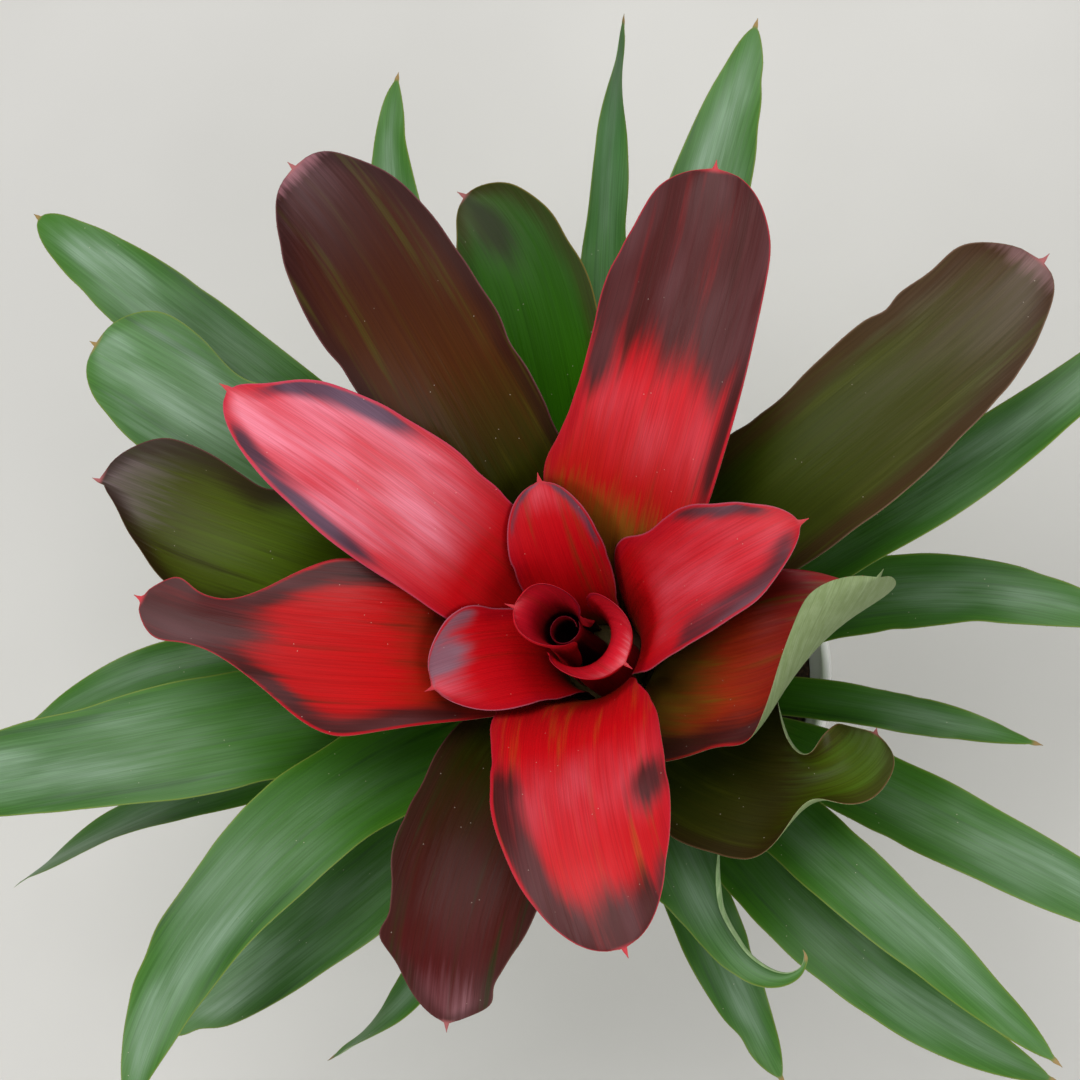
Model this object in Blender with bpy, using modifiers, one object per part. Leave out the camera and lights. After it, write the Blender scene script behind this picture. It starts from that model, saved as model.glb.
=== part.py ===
"""Neoregelia bromeliad in its round nursery pot. Metres, +Z up, origin at the middle of the pot's flat bottom.

Every leaf is a strip of a funnel: its foot stands on one of the rings round a short cone of a stem, and the
rings lie inside each other, so the leaves overlap without touching. North is +Y and east is +X.
"""

import math

import bmesh
import bpy
import numpy as np
from mathutils import Matrix, Vector

MM = 0.001

# Pot
RIM_RADIUS = 76 * MM
RIM_INNER_RADIUS = 72.8 * MM
RIM_BAND = 12.5 * MM
POT_HEIGHT = 125 * MM
POT_TOP_RADIUS = 71 * MM
POT_BASE_RADIUS = 52 * MM
POT_WALL = 1.9 * MM
POT_FLOOR = 2.4 * MM
POT_CORNER = 3 * MM
RIM_LEDGE = 3 * MM
RIM_LEDGE_RISE = 2 * MM
RIM_CHAMFER = 0.8 * MM
FOOT_CHAMFER = 1.5 * MM
DRAIN_HOLES = 6
DRAIN_CIRCLE = 36 * MM
DRAIN_RADIUS = 5 * MM
POT_STEPS = 48
CUTTER_STEPS = 24
CUTTER_OVERRUN = 2 * MM

# Potting mix
SEAT_GAP = 0.35 * MM
SOIL_MIDDLE = 99.2 * MM
SOIL_EDGE = 106 * MM
SOIL_FLAT_SHARE = 0.62
SOIL_RINGS = 9
SOIL_STEPS = 40
LUMP_HEIGHT = 0.7 * MM
LUMP_WAVES = 12
LUMP_RATES = (90, 420)
LUMP_SEED = 11

# Rosette: where the plant stands and how it leans, then the rings that its leaves stand on
ROSETTE_PLACE = (-5 * MM, 3 * MM, 108 * MM)
LEAN_EAST = math.radians(-3.5)
LEAN_NORTH = math.radians(2.5)
FIRST_RING_RADIUS = 8.5 * MM
FIRST_RING_HEIGHT = 24 * MM
RING_STEP = 2.7 * MM
RING_DROP = 2.2 * MM
LAST_RING = 12
MOST_CLASP = 80
LONE_CLASP = 150
CLASP_GAP = 1.2 * MM

# Stem below the leaves
STEM_RADIUS = 13 * MM
STEM_DEPTH = 38 * MM
STEM_SHOULDER = 6 * MM
STEM_UNDERSIDE = 5.5 * MM
STEM_TAPER = 4 * MM
BRIM_CHAMFER = 1.5 * MM
STEM_TIP_RADIUS = 3.6 * MM
STEM_TIP_HEIGHT = 29 * MM
STEM_STEPS = 32

# Leaves
BLADE = 0.8 * MM
MUCRO = 3.5 * MM
MUCRO_ROOT = 0.9 * MM
MUCRO_END = 0.4 * MM
FINE = 240
ACROSS = 40
TIP_ROWS = (0.87, 0.92, 0.955, 0.982, 1.0)

# Rolled heart leaf, a tube whose edges pass each other and that leans the way its neighbour does
TUBE_LENGTH = 44 * MM
TUBE_RADIUS = 4.4 * MM
TUBE_OVERLAP = 1.3 * MM
TUBE_TURN = 190
TUBE_LEAN = 3.6 * MM
TUBE_LEAN_COMPASS = math.radians(163)
TUBE_DROP = 3 * MM
TUBE_BACK = 200
MOUTH_NOTCH = 0.04
MOUTH_SLANT = 0.03
MOUTH_LOW_SIDE = 150
TUBE_ROWS = 8
TUBE_COLUMNS = 20

# Ways that the leaves are cut: where the blade has its full width, where it starts to round off, and how blunt
# the tip is. "channel" is how steeply the margins stand, in degrees, and "tip_channel" is added to it at the tip.
HEART = dict(grown=0.75, widest=0.8, tip=0.9, rows=14, columns=10)
RED = dict(grown=0.5, widest=0.60, tip=0.75)
BRONZE = dict(grown=0.55, widest=0.64, tip=0.8)
GREEN = dict(grown=0.4, widest=0.5, tip=0.45, channel=18, rows=12)

# name, ring, compass (degrees from east, northward), length and width in mm, slope at foot, middle and tip in
# degrees, and what sets the leaf apart. "lobes" are bulges and hollows of one margin: side (1 is left), place
# along the leaf, spread, and height in mm.
LEAVES = [
    ("heart_leaf_w", 1, 163, 72, 40, (89, 91, 84), HEART, dict(channel=149, tip_channel=-78, hook=-58)),
    ("heart_leaf_se", 2, 324, 73, 48, (94, 104, 44), HEART, dict(channel=112, tip_channel=-44, hook=-52)),
    ("inner_leaf_n", 2, 97, 93, 36, (88.5, 78, 34), RED,
     dict(lobes=((-1, 0.45, 0.2, -1.5), (1, 0.45, 0.2, -0.5)))),
    ("inner_leaf_sw", 2, 209, 92, 42, (88.5, 78, 26), RED,
     dict(channel=34, lobes=((-1, 0.78, 0.2, 4), (1, 0.5, 0.2, -3)))),
    ("red_leaf_e", 3, 5, 155, 44, (87.5, 69, 18), RED,
     dict(sweep=14, tip=0.6, lobes=((1, 0.35, 0.14, 9), (1, 0.7, 0.12, 2.5), (-1, 0.86, 0.09, 3)))),
    ("red_leaf_nw", 3, 144, 186, 47, (87, 54, 12), RED,
     dict(sweep=6, late=4, lobes=((-1, 0.62, 0.15, 3), (-1, 0.94, 0.06, -5), (1, 0.7, 0.2, 2)))),
    ("red_leaf_s", 3, 280, 180, 61, (88, 60, -5), RED,
     dict(sweep=12, grown=0.6, lobes=((1, 0.78, 0.12, 1.5), (-1, 0.35, 0.14, 8), (-1, 0.5, 0.12, -2)))),
    ("red_leaf_n", 4, 57, 210, 61, (86, 50, 5), RED,
     dict(sweep=23, late=3,
          lobes=((1, 0.62, 0.12, -4), (1, 0.38, 0.1, 4), (-1, 0.9, 0.09, 3.5), (1, 0.95, 0.04, 2)))),
    ("red_leaf_w", 4, 190, 187, 58, (86, 48, -5), RED,
     dict(sweep=-40, late=3, slim=(0.62, 0.86, 0.6),
          lobes=((1, 0.62, 0.11, 6), (1, 0.93, 0.045, 4), (-1, 0.93, 0.045, 6)), rows=17)),
    ("red_leaf_se", 4, 329, 182, 68, (82, 38, 36), RED,
     dict(sweep=84, twist=-110, twist_from=0.6, roll_right=40, lobes=((-1, 0.58, 0.13, -8), (-1, 0.8, 0.1, -8)),
          rows=20, columns=6)),
    ("bronze_leaf_nw", 5, 114.5, 222, 60, (84, 44, 0), BRONZE,
     dict(sweep=22, late=5, lobes=((1, 0.52, 0.13, -5), (-1, 0.93, 0.04, -1.5)))),
    ("bronze_leaf_s", 5, 252, 173, 58, (84, 44, -25), BRONZE,
     dict(sweep=12, late=3, tip=0.5, lobes=((1, 0.93, 0.03, 4), (-1, 0.84, 0.03, 4)))),
    ("bronze_leaf_ne", 5, 25, 236, 56, (77, 31, 5), BRONZE,
     dict(sweep=22, late=4,
          lobes=((1, 0.58, 0.12, -4), (1, 0.92, 0.06, 5), (-1, 0.62, 0.15, 2.5), (-1, 0.93, 0.05, -2)))),
    ("bronze_leaf_w", 6, 166, 198, 56, (80, 38, -5), BRONZE,
     dict(sweep=-12, late=3, roll_left=50,
          lobes=((-1, 0.7, 0.1, -9), (-1, 0.9, 0.05, 2), (1, 0.94, 0.07, -10), (1, 0.76, 0.08, 6)), rows=17)),
    ("bronze_leaf_se", 6, 311, 167, 58, (78, 31, 8), BRONZE,
     dict(sweep=114, late=2.8, hook=60, pinch=(0.79, 80, 0.06), slim=(0.68, 0.8, 0.5), grown=0.45, widest=0.86,
          tip=0.9, rows=22, columns=6)),
    ("bronze_leaf_n", 7, 93, 178, 48, (76, 36, 0), BRONZE,
     dict(sweep=55, late=5, lobes=((1, 0.93, 0.06, -2), (-1, 0.97, 0.03, -2)))),
    ("green_leaf_sse_hooked", 8, 296, 164, 42, (74, 30, -12), GREEN,
     dict(sweep=190, late=12, slim=(0.55, 0.8, 0.45), roll_left=140, roll_from=0.5, roll_to=0.75, tip=0.3,
          channel=25, rows=20, columns=6)),
    ("green_leaf_ene", 8, 10, 262, 25, (72, 22, -10), GREEN, dict(sweep=44)),
    ("green_leaf_ssw", 8, 215, 240, 38, (72, 22, -20), GREEN, dict(sweep=40)),
    ("green_leaf_nw", 8, 148, 214, 54, (72, 24, -10), BRONZE,
     dict(wave=(2.5, 2.2, 0.1), lobes=((-1, 0.72, 0.09, -10), (-1, 0.9, 0.05, 2)))),
    ("green_leaf_nne", 9, 69, 228, 36, (66, 20, -10), GREEN, dict(sweep=8)),
    ("green_leaf_wsw", 9, 198, 265, 42, (66, 18, -20), GREEN, dict(sweep=-18)),
    ("green_leaf_se", 9, 317, 220, 25, (66, 16, -20), GREEN, {}),
    ("green_leaf_wnw", 10, 141, 258, 32, (60, 16, -15), GREEN, dict(widest=0.6, tip=0.65)),
    ("green_leaf_sw_low", 10, 229, 195, 40, (60, 12, -25), GREEN, dict(sweep=-25)),
    ("green_leaf_e", 10, 8, 183, 27, (60, 14, -15), GREEN, dict(sweep=-32)),
    ("green_leaf_n_edgewise", 10, 85, 220, 18, (60, 16, -10), GREEN, dict(twist=70)),
    ("green_leaf_ese", 11, 331, 222, 27, (54, 10, -15), GREEN, {}),
    ("green_leaf_nnw", 11, 118, 219, 24, (54, 10, -15), GREEN, dict(sweep=-34)),
    ("green_leaf_w_thin", 11, 177, 208, 18, (54, 12, -25), GREEN, dict(sweep=38)),
    ("green_leaf_sse", 11, 306, 206, 28, (54, 8, -20), GREEN, dict(sweep=34)),
    ("green_leaf_e_low", 12, 347, 131, 15, (50, 6, -25), GREEN, {}),
    ("green_leaf_wsw_twisted", 12, 200, 218, 24, (55, 14, -38), GREEN, dict(twist=60)),
    ("green_leaf_ssw_curled", 12, 247, 154, 18, (50, 6, -35), GREEN, dict(sweep=-48, twist=50)),
    ("green_leaf_w_low", 12, 160, 186, 16, (60, 20, -48), GREEN, {}),
    ("green_leaf_s_low", 12, 292, 137, 24, (50, 6, -35), GREEN, dict(sweep=3)),
]

# name: colour, roughness
FINISHES = {
    "red_leaf": ((0.62, 0.02, 0.035), 0.35),
    "bronze_leaf": ((0.10, 0.045, 0.03), 0.35),
    "green_leaf": ((0.07, 0.20, 0.045), 0.38),
    "stem": ((0.35, 0.33, 0.16), 0.6),
    "potting_mix": ((0.055, 0.032, 0.02), 0.9),
    "white_plastic": ((0.85, 0.85, 0.83), 0.35),
}


def clear_scene():
    for old in list(bpy.data.objects):
        bpy.data.objects.remove(old, do_unlink=True)


def new_collection(name, hidden):
    collection = bpy.data.collections.new(name)
    collection.hide_render = hidden
    bpy.context.scene.collection.children.link(collection)
    return collection


def make_finish(name):
    colour, roughness = FINISHES[name]
    material = bpy.data.materials.new(name)
    material.use_nodes = True
    shader = material.node_tree.nodes["Principled BSDF"]
    shader.inputs["Base Color"].default_value = (*colour, 1)
    shader.inputs["Roughness"].default_value = roughness
    shader.inputs["Metallic"].default_value = 0
    return material


def add_object(name, mesh, finish, collection):
    piece = bpy.data.objects.new(name, mesh)
    mesh.materials.clear()
    mesh.materials.append(finish)
    mesh.shade_smooth()
    collection.objects.link(piece)
    return piece


def smooth(start, end, x):
    """0 before start, 1 after end, and an S-shaped rise between them."""
    t = np.clip((x - start) / (end - start), 0, 1)
    return t * t * (3 - 2 * t)


# Leaf shape

def ring_radius(ring):
    return FIRST_RING_RADIUS + RING_STEP * ring


def ring_height(ring):
    return FIRST_RING_HEIGHT - RING_DROP * ring


def read_leaf(row):
    """A leaf's values by name, with the defaults of a plain leaf under those of its kind and its own."""
    name, ring, compass, length, width, slopes, kind, own = row
    leaf = dict(channel=25, tip_channel=0, sweep=0, late=2, hook=0, twist=0, twist_from=0.3, roll_left=0,
                roll_right=0, roll_from=0.45, roll_to=0.85, pinch=(0.5, 0, 1), slim=(0, 1, 0), wave=(0, 1, 0),
                lobes=(), rows=15, columns=4)
    leaf.update(kind)
    leaf.update(own)
    leaf.update(name=name, ring=ring, compass=compass, length=length * MM, width=width * MM, slopes=slopes)
    return leaf


def clasp_share(leaf, leaves):
    """The foot's width over the blade's: a foot takes its half of the gap to the nearest foot on its ring."""
    turns = [
        abs((leaf["compass"] - other["compass"] + 180) % 360 - 180)
        for other in leaves
        if other is not leaf and other["ring"] == leaf["ring"]
    ]
    half_turn = min(turns) / 2 if turns else LONE_CLASP
    room = math.radians(min(half_turn, MOST_CLASP)) * ring_radius(leaf["ring"]) - CLASP_GAP
    return min(0.85, room / (0.5 * leaf["width"]))


def half_width(leaf, s):
    """From the clasping foot the blade widens to its full width, keeps it, and rounds off to the pointed tip."""
    s_blade = s * leaf["length"] / (leaf["length"] - MUCRO)
    share = leaf["clasp"] + (1 - leaf["clasp"]) * smooth(0.04, leaf["grown"], s_blade)
    beyond = np.clip((s_blade - leaf["widest"]) / (1 - leaf["widest"]), 0, 1)
    rounding = np.clip(1 - beyond ** (1.25 + 1.5 * leaf["tip"]), 0, 1) ** (1 - 0.7 * leaf["tip"])
    slim_from, slim_to, slim_share = leaf["slim"]
    rounding = rounding * (1 - slim_share * smooth(slim_from, slim_to, s_blade))
    point = MUCRO_ROOT - (MUCRO_ROOT - MUCRO_END) * smooth(1 - MUCRO / leaf["length"], 1, s)
    return np.maximum(0.5 * leaf["width"] * share * rounding, point)


def side_widths(leaf, s, v):
    """The half width again for every point, with each margin's own bulges and hollows added to its side.

    Each lobe is (side, place along the leaf, spread, height in mm), a bell curve that fades before the point.
    """
    half = np.repeat(half_width(leaf, s)[:, None], len(v), 1)
    mucro_share = MUCRO / leaf["length"]
    kept = 1 - smooth(1 - 1.3 * mucro_share, 1 - 0.7 * mucro_share, s)
    for side, place, spread, height in leaf["lobes"]:
        bell = kept * height * MM * np.exp(-(((s - place) / spread) ** 2))
        half = half + (v * side > 0) * bell[:, None]
    least = MUCRO_ROOT - (MUCRO_ROOT - MUCRO_END) * smooth(1 - mucro_share, 1, s)
    return np.maximum(half, least[:, None])


def midrib(leaf, s):
    """Points of the midrib and its directions along, to the left and up, at each s.

    The slope runs from foot to tip on a parabola, the heading turns by the sweep, and the points are the sum of
    small steps along both. A twist turns the blade about its midrib.
    """
    fine = np.linspace(0, 1, FINE + 1)
    foot, middle, tip = leaf["slopes"]
    slope = foot * (1 - fine) ** 2 + 2 * middle * fine * (1 - fine) + tip * fine**2
    slope = np.radians(slope + leaf["hook"] * smooth(0.78, 1, fine))
    heading = np.radians(leaf["compass"] + leaf["sweep"] * fine ** leaf["late"])
    along = np.stack([np.cos(slope) * np.cos(heading), np.cos(slope) * np.sin(heading), np.sin(slope)], 1)
    steps = 0.5 * (along[1:] + along[:-1]) * leaf["length"] / FINE
    start = ring_radius(leaf["ring"]) * np.array([np.cos(heading[0]), np.sin(heading[0]), 0])
    start[2] = ring_height(leaf["ring"])
    points = np.vstack([start, start + np.cumsum(steps, axis=0)])
    left = np.stack([-np.sin(heading), np.cos(heading), 0 * heading], 1)
    up = np.cross(along, left)
    turn = np.radians(leaf["twist"]) * smooth(leaf["twist_from"], 1, fine)[:, None]
    turned_left = left * np.cos(turn) + up * np.sin(turn)
    turned_up = up * np.cos(turn) - left * np.sin(turn)

    def at(values):
        return np.stack([np.interp(s, fine, values[:, axis]) for axis in range(3)], 1)

    return at(points), at(along), at(turned_left), at(turned_up)


def leaf_points(leaf, s, v):
    """The blade's middle surface, for s from foot to tip and v from the right margin (-1) to the left (1).

    Near the foot the cross-section is an arc round the plant's axis. Further out it is a shallow channel, whose
    margins may roll in further, and where a pinch folds it up.
    """
    centre, along, left, up = midrib(leaf, s)
    half = half_width(leaf, s)
    clasp = np.minimum(half * np.maximum(along[:, 2], 0) / np.hypot(centre[:, 0], centre[:, 1]), 1.4)
    open_share = smooth(0.15, 0.6, s)
    channel = clasp * (1 - open_share) + np.radians(leaf["channel"]) * open_share
    channel = channel + np.radians(leaf["tip_channel"]) * smooth(0.7, 1, s)
    pinch_at, pinch_amount, pinch_spread = leaf["pinch"]
    channel = channel + np.radians(pinch_amount) * np.exp(-(((s - pinch_at) / pinch_spread) ** 2))
    rolling = smooth(leaf["roll_from"], leaf["roll_to"], s)
    fine = np.linspace(-1, 1, ACROSS + 1)
    tilt = channel[:, None] * fine
    tilt = tilt + np.radians(leaf["roll_left"]) * rolling[:, None] * np.maximum(fine, 0) ** 2
    tilt = tilt - np.radians(leaf["roll_right"]) * rolling[:, None] * np.maximum(-fine, 0) ** 2
    sideways = running_sum(np.cos(tilt))
    raised = running_sum(np.sin(tilt))
    widths = side_widths(leaf, s, v)
    x = np.stack([np.interp(v, fine, row) for row in sideways]) * widths
    y = np.stack([np.interp(v, fine, row) for row in raised]) * widths
    wave_height, wave_count, wave_start = leaf["wave"]
    swell = wave_height * MM * smooth(0.3, 0.6, s) * (1 - smooth(0.9, 1.0, s))
    phase = 2 * np.pi * (wave_count * s[:, None] + wave_start) + 1.9 * (v > 0)
    y = y + swell[:, None] * np.abs(v) ** 1.7 * np.sin(phase)
    return centre[:, None] + left[:, None] * x[..., None] + up[:, None] * y[..., None]


def running_sum(rates):
    """Distance covered from the middle of each row, where rates gives the speed at each of its points."""
    steps = 0.5 * (rates[:, 1:] + rates[:, :-1]) * 2 / ACROSS
    total = np.concatenate([0 * rates[:, :1], np.cumsum(steps, axis=1)], axis=1)
    return total - total[:, ACROSS // 2 : ACROSS // 2 + 1]


def grid_mesh(name, points):
    """An open grid moved to the given points, one row after another, and split into triangles."""
    rows, columns = points.shape[:2]
    grid = bmesh.new()
    bmesh.ops.create_grid(grid, x_segments=columns - 1, y_segments=rows - 1, size=1)
    for vertex in grid.verts:
        row = round((vertex.co.y + 1) / 2 * (rows - 1))
        column = round((vertex.co.x + 1) / 2 * (columns - 1))
        vertex.co = Vector(points[row, column])
    bmesh.ops.triangulate(grid, faces=grid.faces[:], quad_method="SHORT_EDGE")
    mesh = bpy.data.meshes.new(name)
    grid.to_mesh(mesh)
    grid.free()
    return mesh


def thicken(piece):
    wall = piece.modifiers.new("blade", "SOLIDIFY")
    wall.thickness = BLADE
    wall.offset = 0


def leaf_rows(leaf):
    body = np.linspace(0, 0.8, leaf["rows"] - len(TIP_ROWS) + 1)
    return np.concatenate([body, TIP_ROWS])


def make_leaf(leaf, finish, collection, rosette):
    points = leaf_points(leaf, leaf_rows(leaf), np.linspace(-1, 1, leaf["columns"] + 1))
    piece = add_object(leaf["name"], grid_mesh(leaf["name"], points), finish, collection)
    thicken(piece)
    piece.parent = rosette


def make_tube(finish, collection, rosette):
    """The youngest leaf, rolled so that one edge lies outside the other, round a line that leaves the axis."""
    s = np.linspace(0, 1, TUBE_ROWS + 1)[:, None]
    turn = np.linspace(-1, 1, TUBE_COLUMNS + 1)[None, :]
    angle = np.radians(TUBE_BACK + TUBE_TURN * turn)
    radius = TUBE_RADIUS + TUBE_OVERLAP * (turn + 1) / 2
    lean = TUBE_LEAN * smooth(0.2, 0.8, s)
    slant = MOUTH_SLANT * np.cos(angle - np.radians(MOUTH_LOW_SIDE))
    mouth = 1 - MOUTH_NOTCH * smooth(0.5, 1, np.abs(turn)) - slant
    height = STEM_TIP_HEIGHT - TUBE_DROP + TUBE_LENGTH * s * mouth
    east = radius * np.cos(angle) + lean * np.cos(TUBE_LEAN_COMPASS)
    north = radius * np.sin(angle) + lean * np.sin(TUBE_LEAN_COMPASS)
    points = np.stack([east, north, height], -1)
    piece = add_object("heart_tube", grid_mesh("heart_tube", points), finish, collection)
    thicken(piece)
    piece.parent = rosette


# Turned pieces

def turned_mesh(name, profile, steps):
    """A profile of (radius, height) points, turned once round the Z axis."""
    outline = bpy.data.meshes.new(name + "_outline")
    edges = [(i, i + 1) for i in range(len(profile) - 1)]
    outline.from_pydata([(radius, 0, height) for radius, height in profile], edges, [])
    guide = bpy.data.objects.new(name + "_outline", outline)
    bpy.context.scene.collection.objects.link(guide)
    screw = guide.modifiers.new("turn", "SCREW")
    screw.steps = steps
    screw.render_steps = steps
    screw.use_merge_vertices = True
    screw.merge_threshold = 0.00001
    graph = bpy.context.evaluated_depsgraph_get()
    mesh = bpy.data.meshes.new_from_object(guide.evaluated_get(graph))
    mesh.name = name
    bpy.data.objects.remove(guide)
    bpy.data.meshes.remove(outline)
    return mesh


def pot_inner_radius(height):
    """Radius of the pot's inner wall below the rim band."""
    share = height / (POT_HEIGHT - RIM_BAND)
    return POT_BASE_RADIUS + (POT_TOP_RADIUS - POT_BASE_RADIUS) * share - POT_WALL


def arc(centre, radius, start, end, count):
    angles = np.radians(np.linspace(start, end, count))
    return [(centre[0] + radius * np.cos(a), centre[1] + radius * np.sin(a)) for a in angles]


def cutter(name, radius, bottom, top, collection):
    mesh = turned_mesh(name, [(0, top), (radius, top), (radius, bottom), (0, bottom)], CUTTER_STEPS)
    piece = bpy.data.objects.new(name, mesh)
    collection.objects.link(piece)
    piece.hide_render = True
    piece.display_type = "WIRE"
    return piece


def cut_away(piece, tool):
    cut = piece.modifiers.new(tool.name, "BOOLEAN")
    cut.operation = "DIFFERENCE"
    cut.object = tool


def make_pot(finish, collection, cutters):
    band_bottom = POT_HEIGHT - RIM_BAND
    lip = (RIM_RADIUS - RIM_INNER_RADIUS) / 2
    lip_centre = (RIM_RADIUS - lip, POT_HEIGHT - lip)
    floor_edge = pot_inner_radius(POT_FLOOR + POT_CORNER) - POT_CORNER
    ledge = band_bottom - RIM_LEDGE
    profile = [(0, POT_FLOOR), (floor_edge, POT_FLOOR)]
    profile += arc((floor_edge, POT_FLOOR + POT_CORNER), POT_CORNER, -60, 0, 3)
    profile += [(pot_inner_radius(ledge), ledge), (RIM_INNER_RADIUS, band_bottom + RIM_LEDGE_RISE)]
    profile += arc(lip_centre, lip, 180, 0, 7)
    profile += [(RIM_RADIUS, band_bottom + RIM_CHAMFER), (RIM_RADIUS - RIM_CHAMFER, band_bottom)]
    profile += [(POT_TOP_RADIUS, band_bottom), (POT_BASE_RADIUS, FOOT_CHAMFER)]
    profile += [(POT_BASE_RADIUS - FOOT_CHAMFER, 0), (0, 0)]
    pot = add_object("pot", turned_mesh("pot", profile, POT_STEPS), finish, collection)
    for i in range(DRAIN_HOLES):
        hole = cutter(f"drain_{i}", DRAIN_RADIUS, -CUTTER_OVERRUN, POT_FLOOR + CUTTER_OVERRUN, cutters)
        angle = 2 * math.pi * (i + 0.5) / DRAIN_HOLES
        hole.location = (DRAIN_CIRCLE * math.cos(angle), DRAIN_CIRCLE * math.sin(angle), 0)
        cut_away(pot, hole)


def soil_top(radius):
    share = radius / pot_inner_radius(SOIL_EDGE)
    return SOIL_MIDDLE + (SOIL_EDGE - SOIL_MIDDLE) * smooth(SOIL_FLAT_SHARE, 1, share)


def make_soil(finish, collection, cutters, rosette):
    """Potting mix that fills the pot, lumpy on top by a sum of seeded waves, with a hole for the stem."""
    edge = pot_inner_radius(SOIL_EDGE) - SEAT_GAP
    bottom = POT_FLOOR + SEAT_GAP
    foot = pot_inner_radius(bottom + POT_CORNER) - SEAT_GAP
    profile = [(edge * i / SOIL_RINGS, float(soil_top(edge * i / SOIL_RINGS))) for i in range(SOIL_RINGS)]
    profile += [(edge, SOIL_EDGE), (foot, bottom + 1.2 * POT_CORNER)]
    profile += [(foot - 1.6 * POT_CORNER, bottom), (0, bottom)]
    mesh = turned_mesh("potting_mix", profile, SOIL_STEPS)
    rng = np.random.default_rng(LUMP_SEED)
    waves = rng.uniform(*LUMP_RATES, (LUMP_WAVES, 2)) * rng.choice([-1, 1], (LUMP_WAVES, 2))
    phases = rng.uniform(0, 2 * np.pi, LUMP_WAVES)
    points = np.empty(len(mesh.vertices) * 3)
    mesh.vertices.foreach_get("co", points)
    points = points.reshape(-1, 3)
    radius = np.hypot(points[:, 0], points[:, 1])
    on_top = (points[:, 2] > SOIL_MIDDLE - MM) & (radius < edge - MM)
    lumps = np.sin(points[:, :2] @ waves.T + phases).sum(axis=1) / np.sqrt(LUMP_WAVES)
    points[:, 2] += LUMP_HEIGHT * np.clip(lumps, -1, 1) * on_top
    mesh.vertices.foreach_set("co", points.ravel())
    soil = add_object("potting_mix", mesh, finish, collection)
    hole = cutter("stem_hole", STEM_RADIUS + SEAT_GAP, -STEM_DEPTH - SEAT_GAP, CUTTER_OVERRUN, cutters)
    hole.parent = rosette
    cut_away(soil, hole)


def stem_seat(ring, leaves):
    """Radius of the stem under a ring of feet: just inside the flats of their facets."""
    seats = [ring_radius(ring)]
    for leaf in leaves:
        if leaf["ring"] == ring:
            facet = float(half_width(leaf, np.zeros(1))[0]) / ring_radius(ring) * 2 / leaf["columns"]
            seats.append(ring_radius(ring) * math.cos(facet / 2))
    return min(seats) - BLADE / 2 - SEAT_GAP


def make_stem(leaves, finish, collection, rosette):
    """A short cone that carries every ring of leaves, on a root stock that stands in the potting mix."""
    profile = [(0, STEM_TIP_HEIGHT), (0.6 * STEM_TIP_RADIUS, STEM_TIP_HEIGHT - 0.4 * MM)]
    profile += [(STEM_TIP_RADIUS, STEM_TIP_HEIGHT - 2 * MM), (STEM_TIP_RADIUS, ring_height(0) + MM)]
    profile += [(stem_seat(ring, leaves), ring_height(ring)) for ring in range(1, LAST_RING + 1)]
    brim = stem_seat(LAST_RING, leaves)
    profile += [(brim - BRIM_CHAMFER, ring_height(LAST_RING) - BRIM_CHAMFER)]
    profile += [(STEM_RADIUS + STEM_SHOULDER, -STEM_UNDERSIDE), (STEM_RADIUS, -STEM_UNDERSIDE - MM)]
    profile += [(STEM_RADIUS, -STEM_DEPTH + STEM_TAPER), (STEM_RADIUS - STEM_TAPER, -STEM_DEPTH)]
    profile += [(0, -STEM_DEPTH)]
    stem = add_object("stem", turned_mesh("stem", profile, STEM_STEPS), finish, collection)
    stem.parent = rosette


def make_rosette_frame(collection):
    """An empty where the plant stands, leaning west and a little north."""
    upward = Vector((math.sin(LEAN_EAST), math.sin(LEAN_NORTH), 0))
    upward.z = math.sqrt(1 - upward.x**2 - upward.y**2)
    eastward = Vector((1, 0, 0)) - upward * upward.x
    eastward.normalize()
    turn = Matrix((eastward, upward.cross(eastward), upward)).transposed()
    rosette = bpy.data.objects.new("rosette", None)
    rosette.location = ROSETTE_PLACE
    rosette.rotation_euler = turn.to_euler()
    collection.objects.link(rosette)
    return rosette


def main():
    clear_scene()
    finishes = {name: make_finish(name) for name in FINISHES}
    parts = new_collection("neoregelia_in_pot", hidden=False)
    cutters = new_collection("cutters", hidden=True)
    rosette = make_rosette_frame(parts)
    leaves = [read_leaf(row) for row in LEAVES]
    for leaf in leaves:
        leaf["clasp"] = clasp_share(leaf, leaves)
    make_pot(finishes["white_plastic"], parts, cutters)
    make_soil(finishes["potting_mix"], parts, cutters, rosette)
    make_stem(leaves, finishes["stem"], parts, rosette)
    make_tube(finishes["red_leaf"], parts, rosette)
    for leaf in leaves:
        colour = leaf["name"].split("_")[0]
        finish = finishes[colour + "_leaf"] if colour in ("bronze", "green") else finishes["red_leaf"]
        make_leaf(leaf, finish, parts, rosette)


main()
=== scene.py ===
"""Looks of a neoregelia bromeliad in its white nursery pot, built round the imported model. Metres, +Z up.

Every leaf is a closed thin blade worked out from the same rings, slopes and widths as its solid, so the two
lie in the same place. North is +Y and east is +X. Colours are written as 0 to 255 and read as sRGB.
"""

import math

import bpy
import numpy as np
from mathutils import Matrix, Vector


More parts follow.
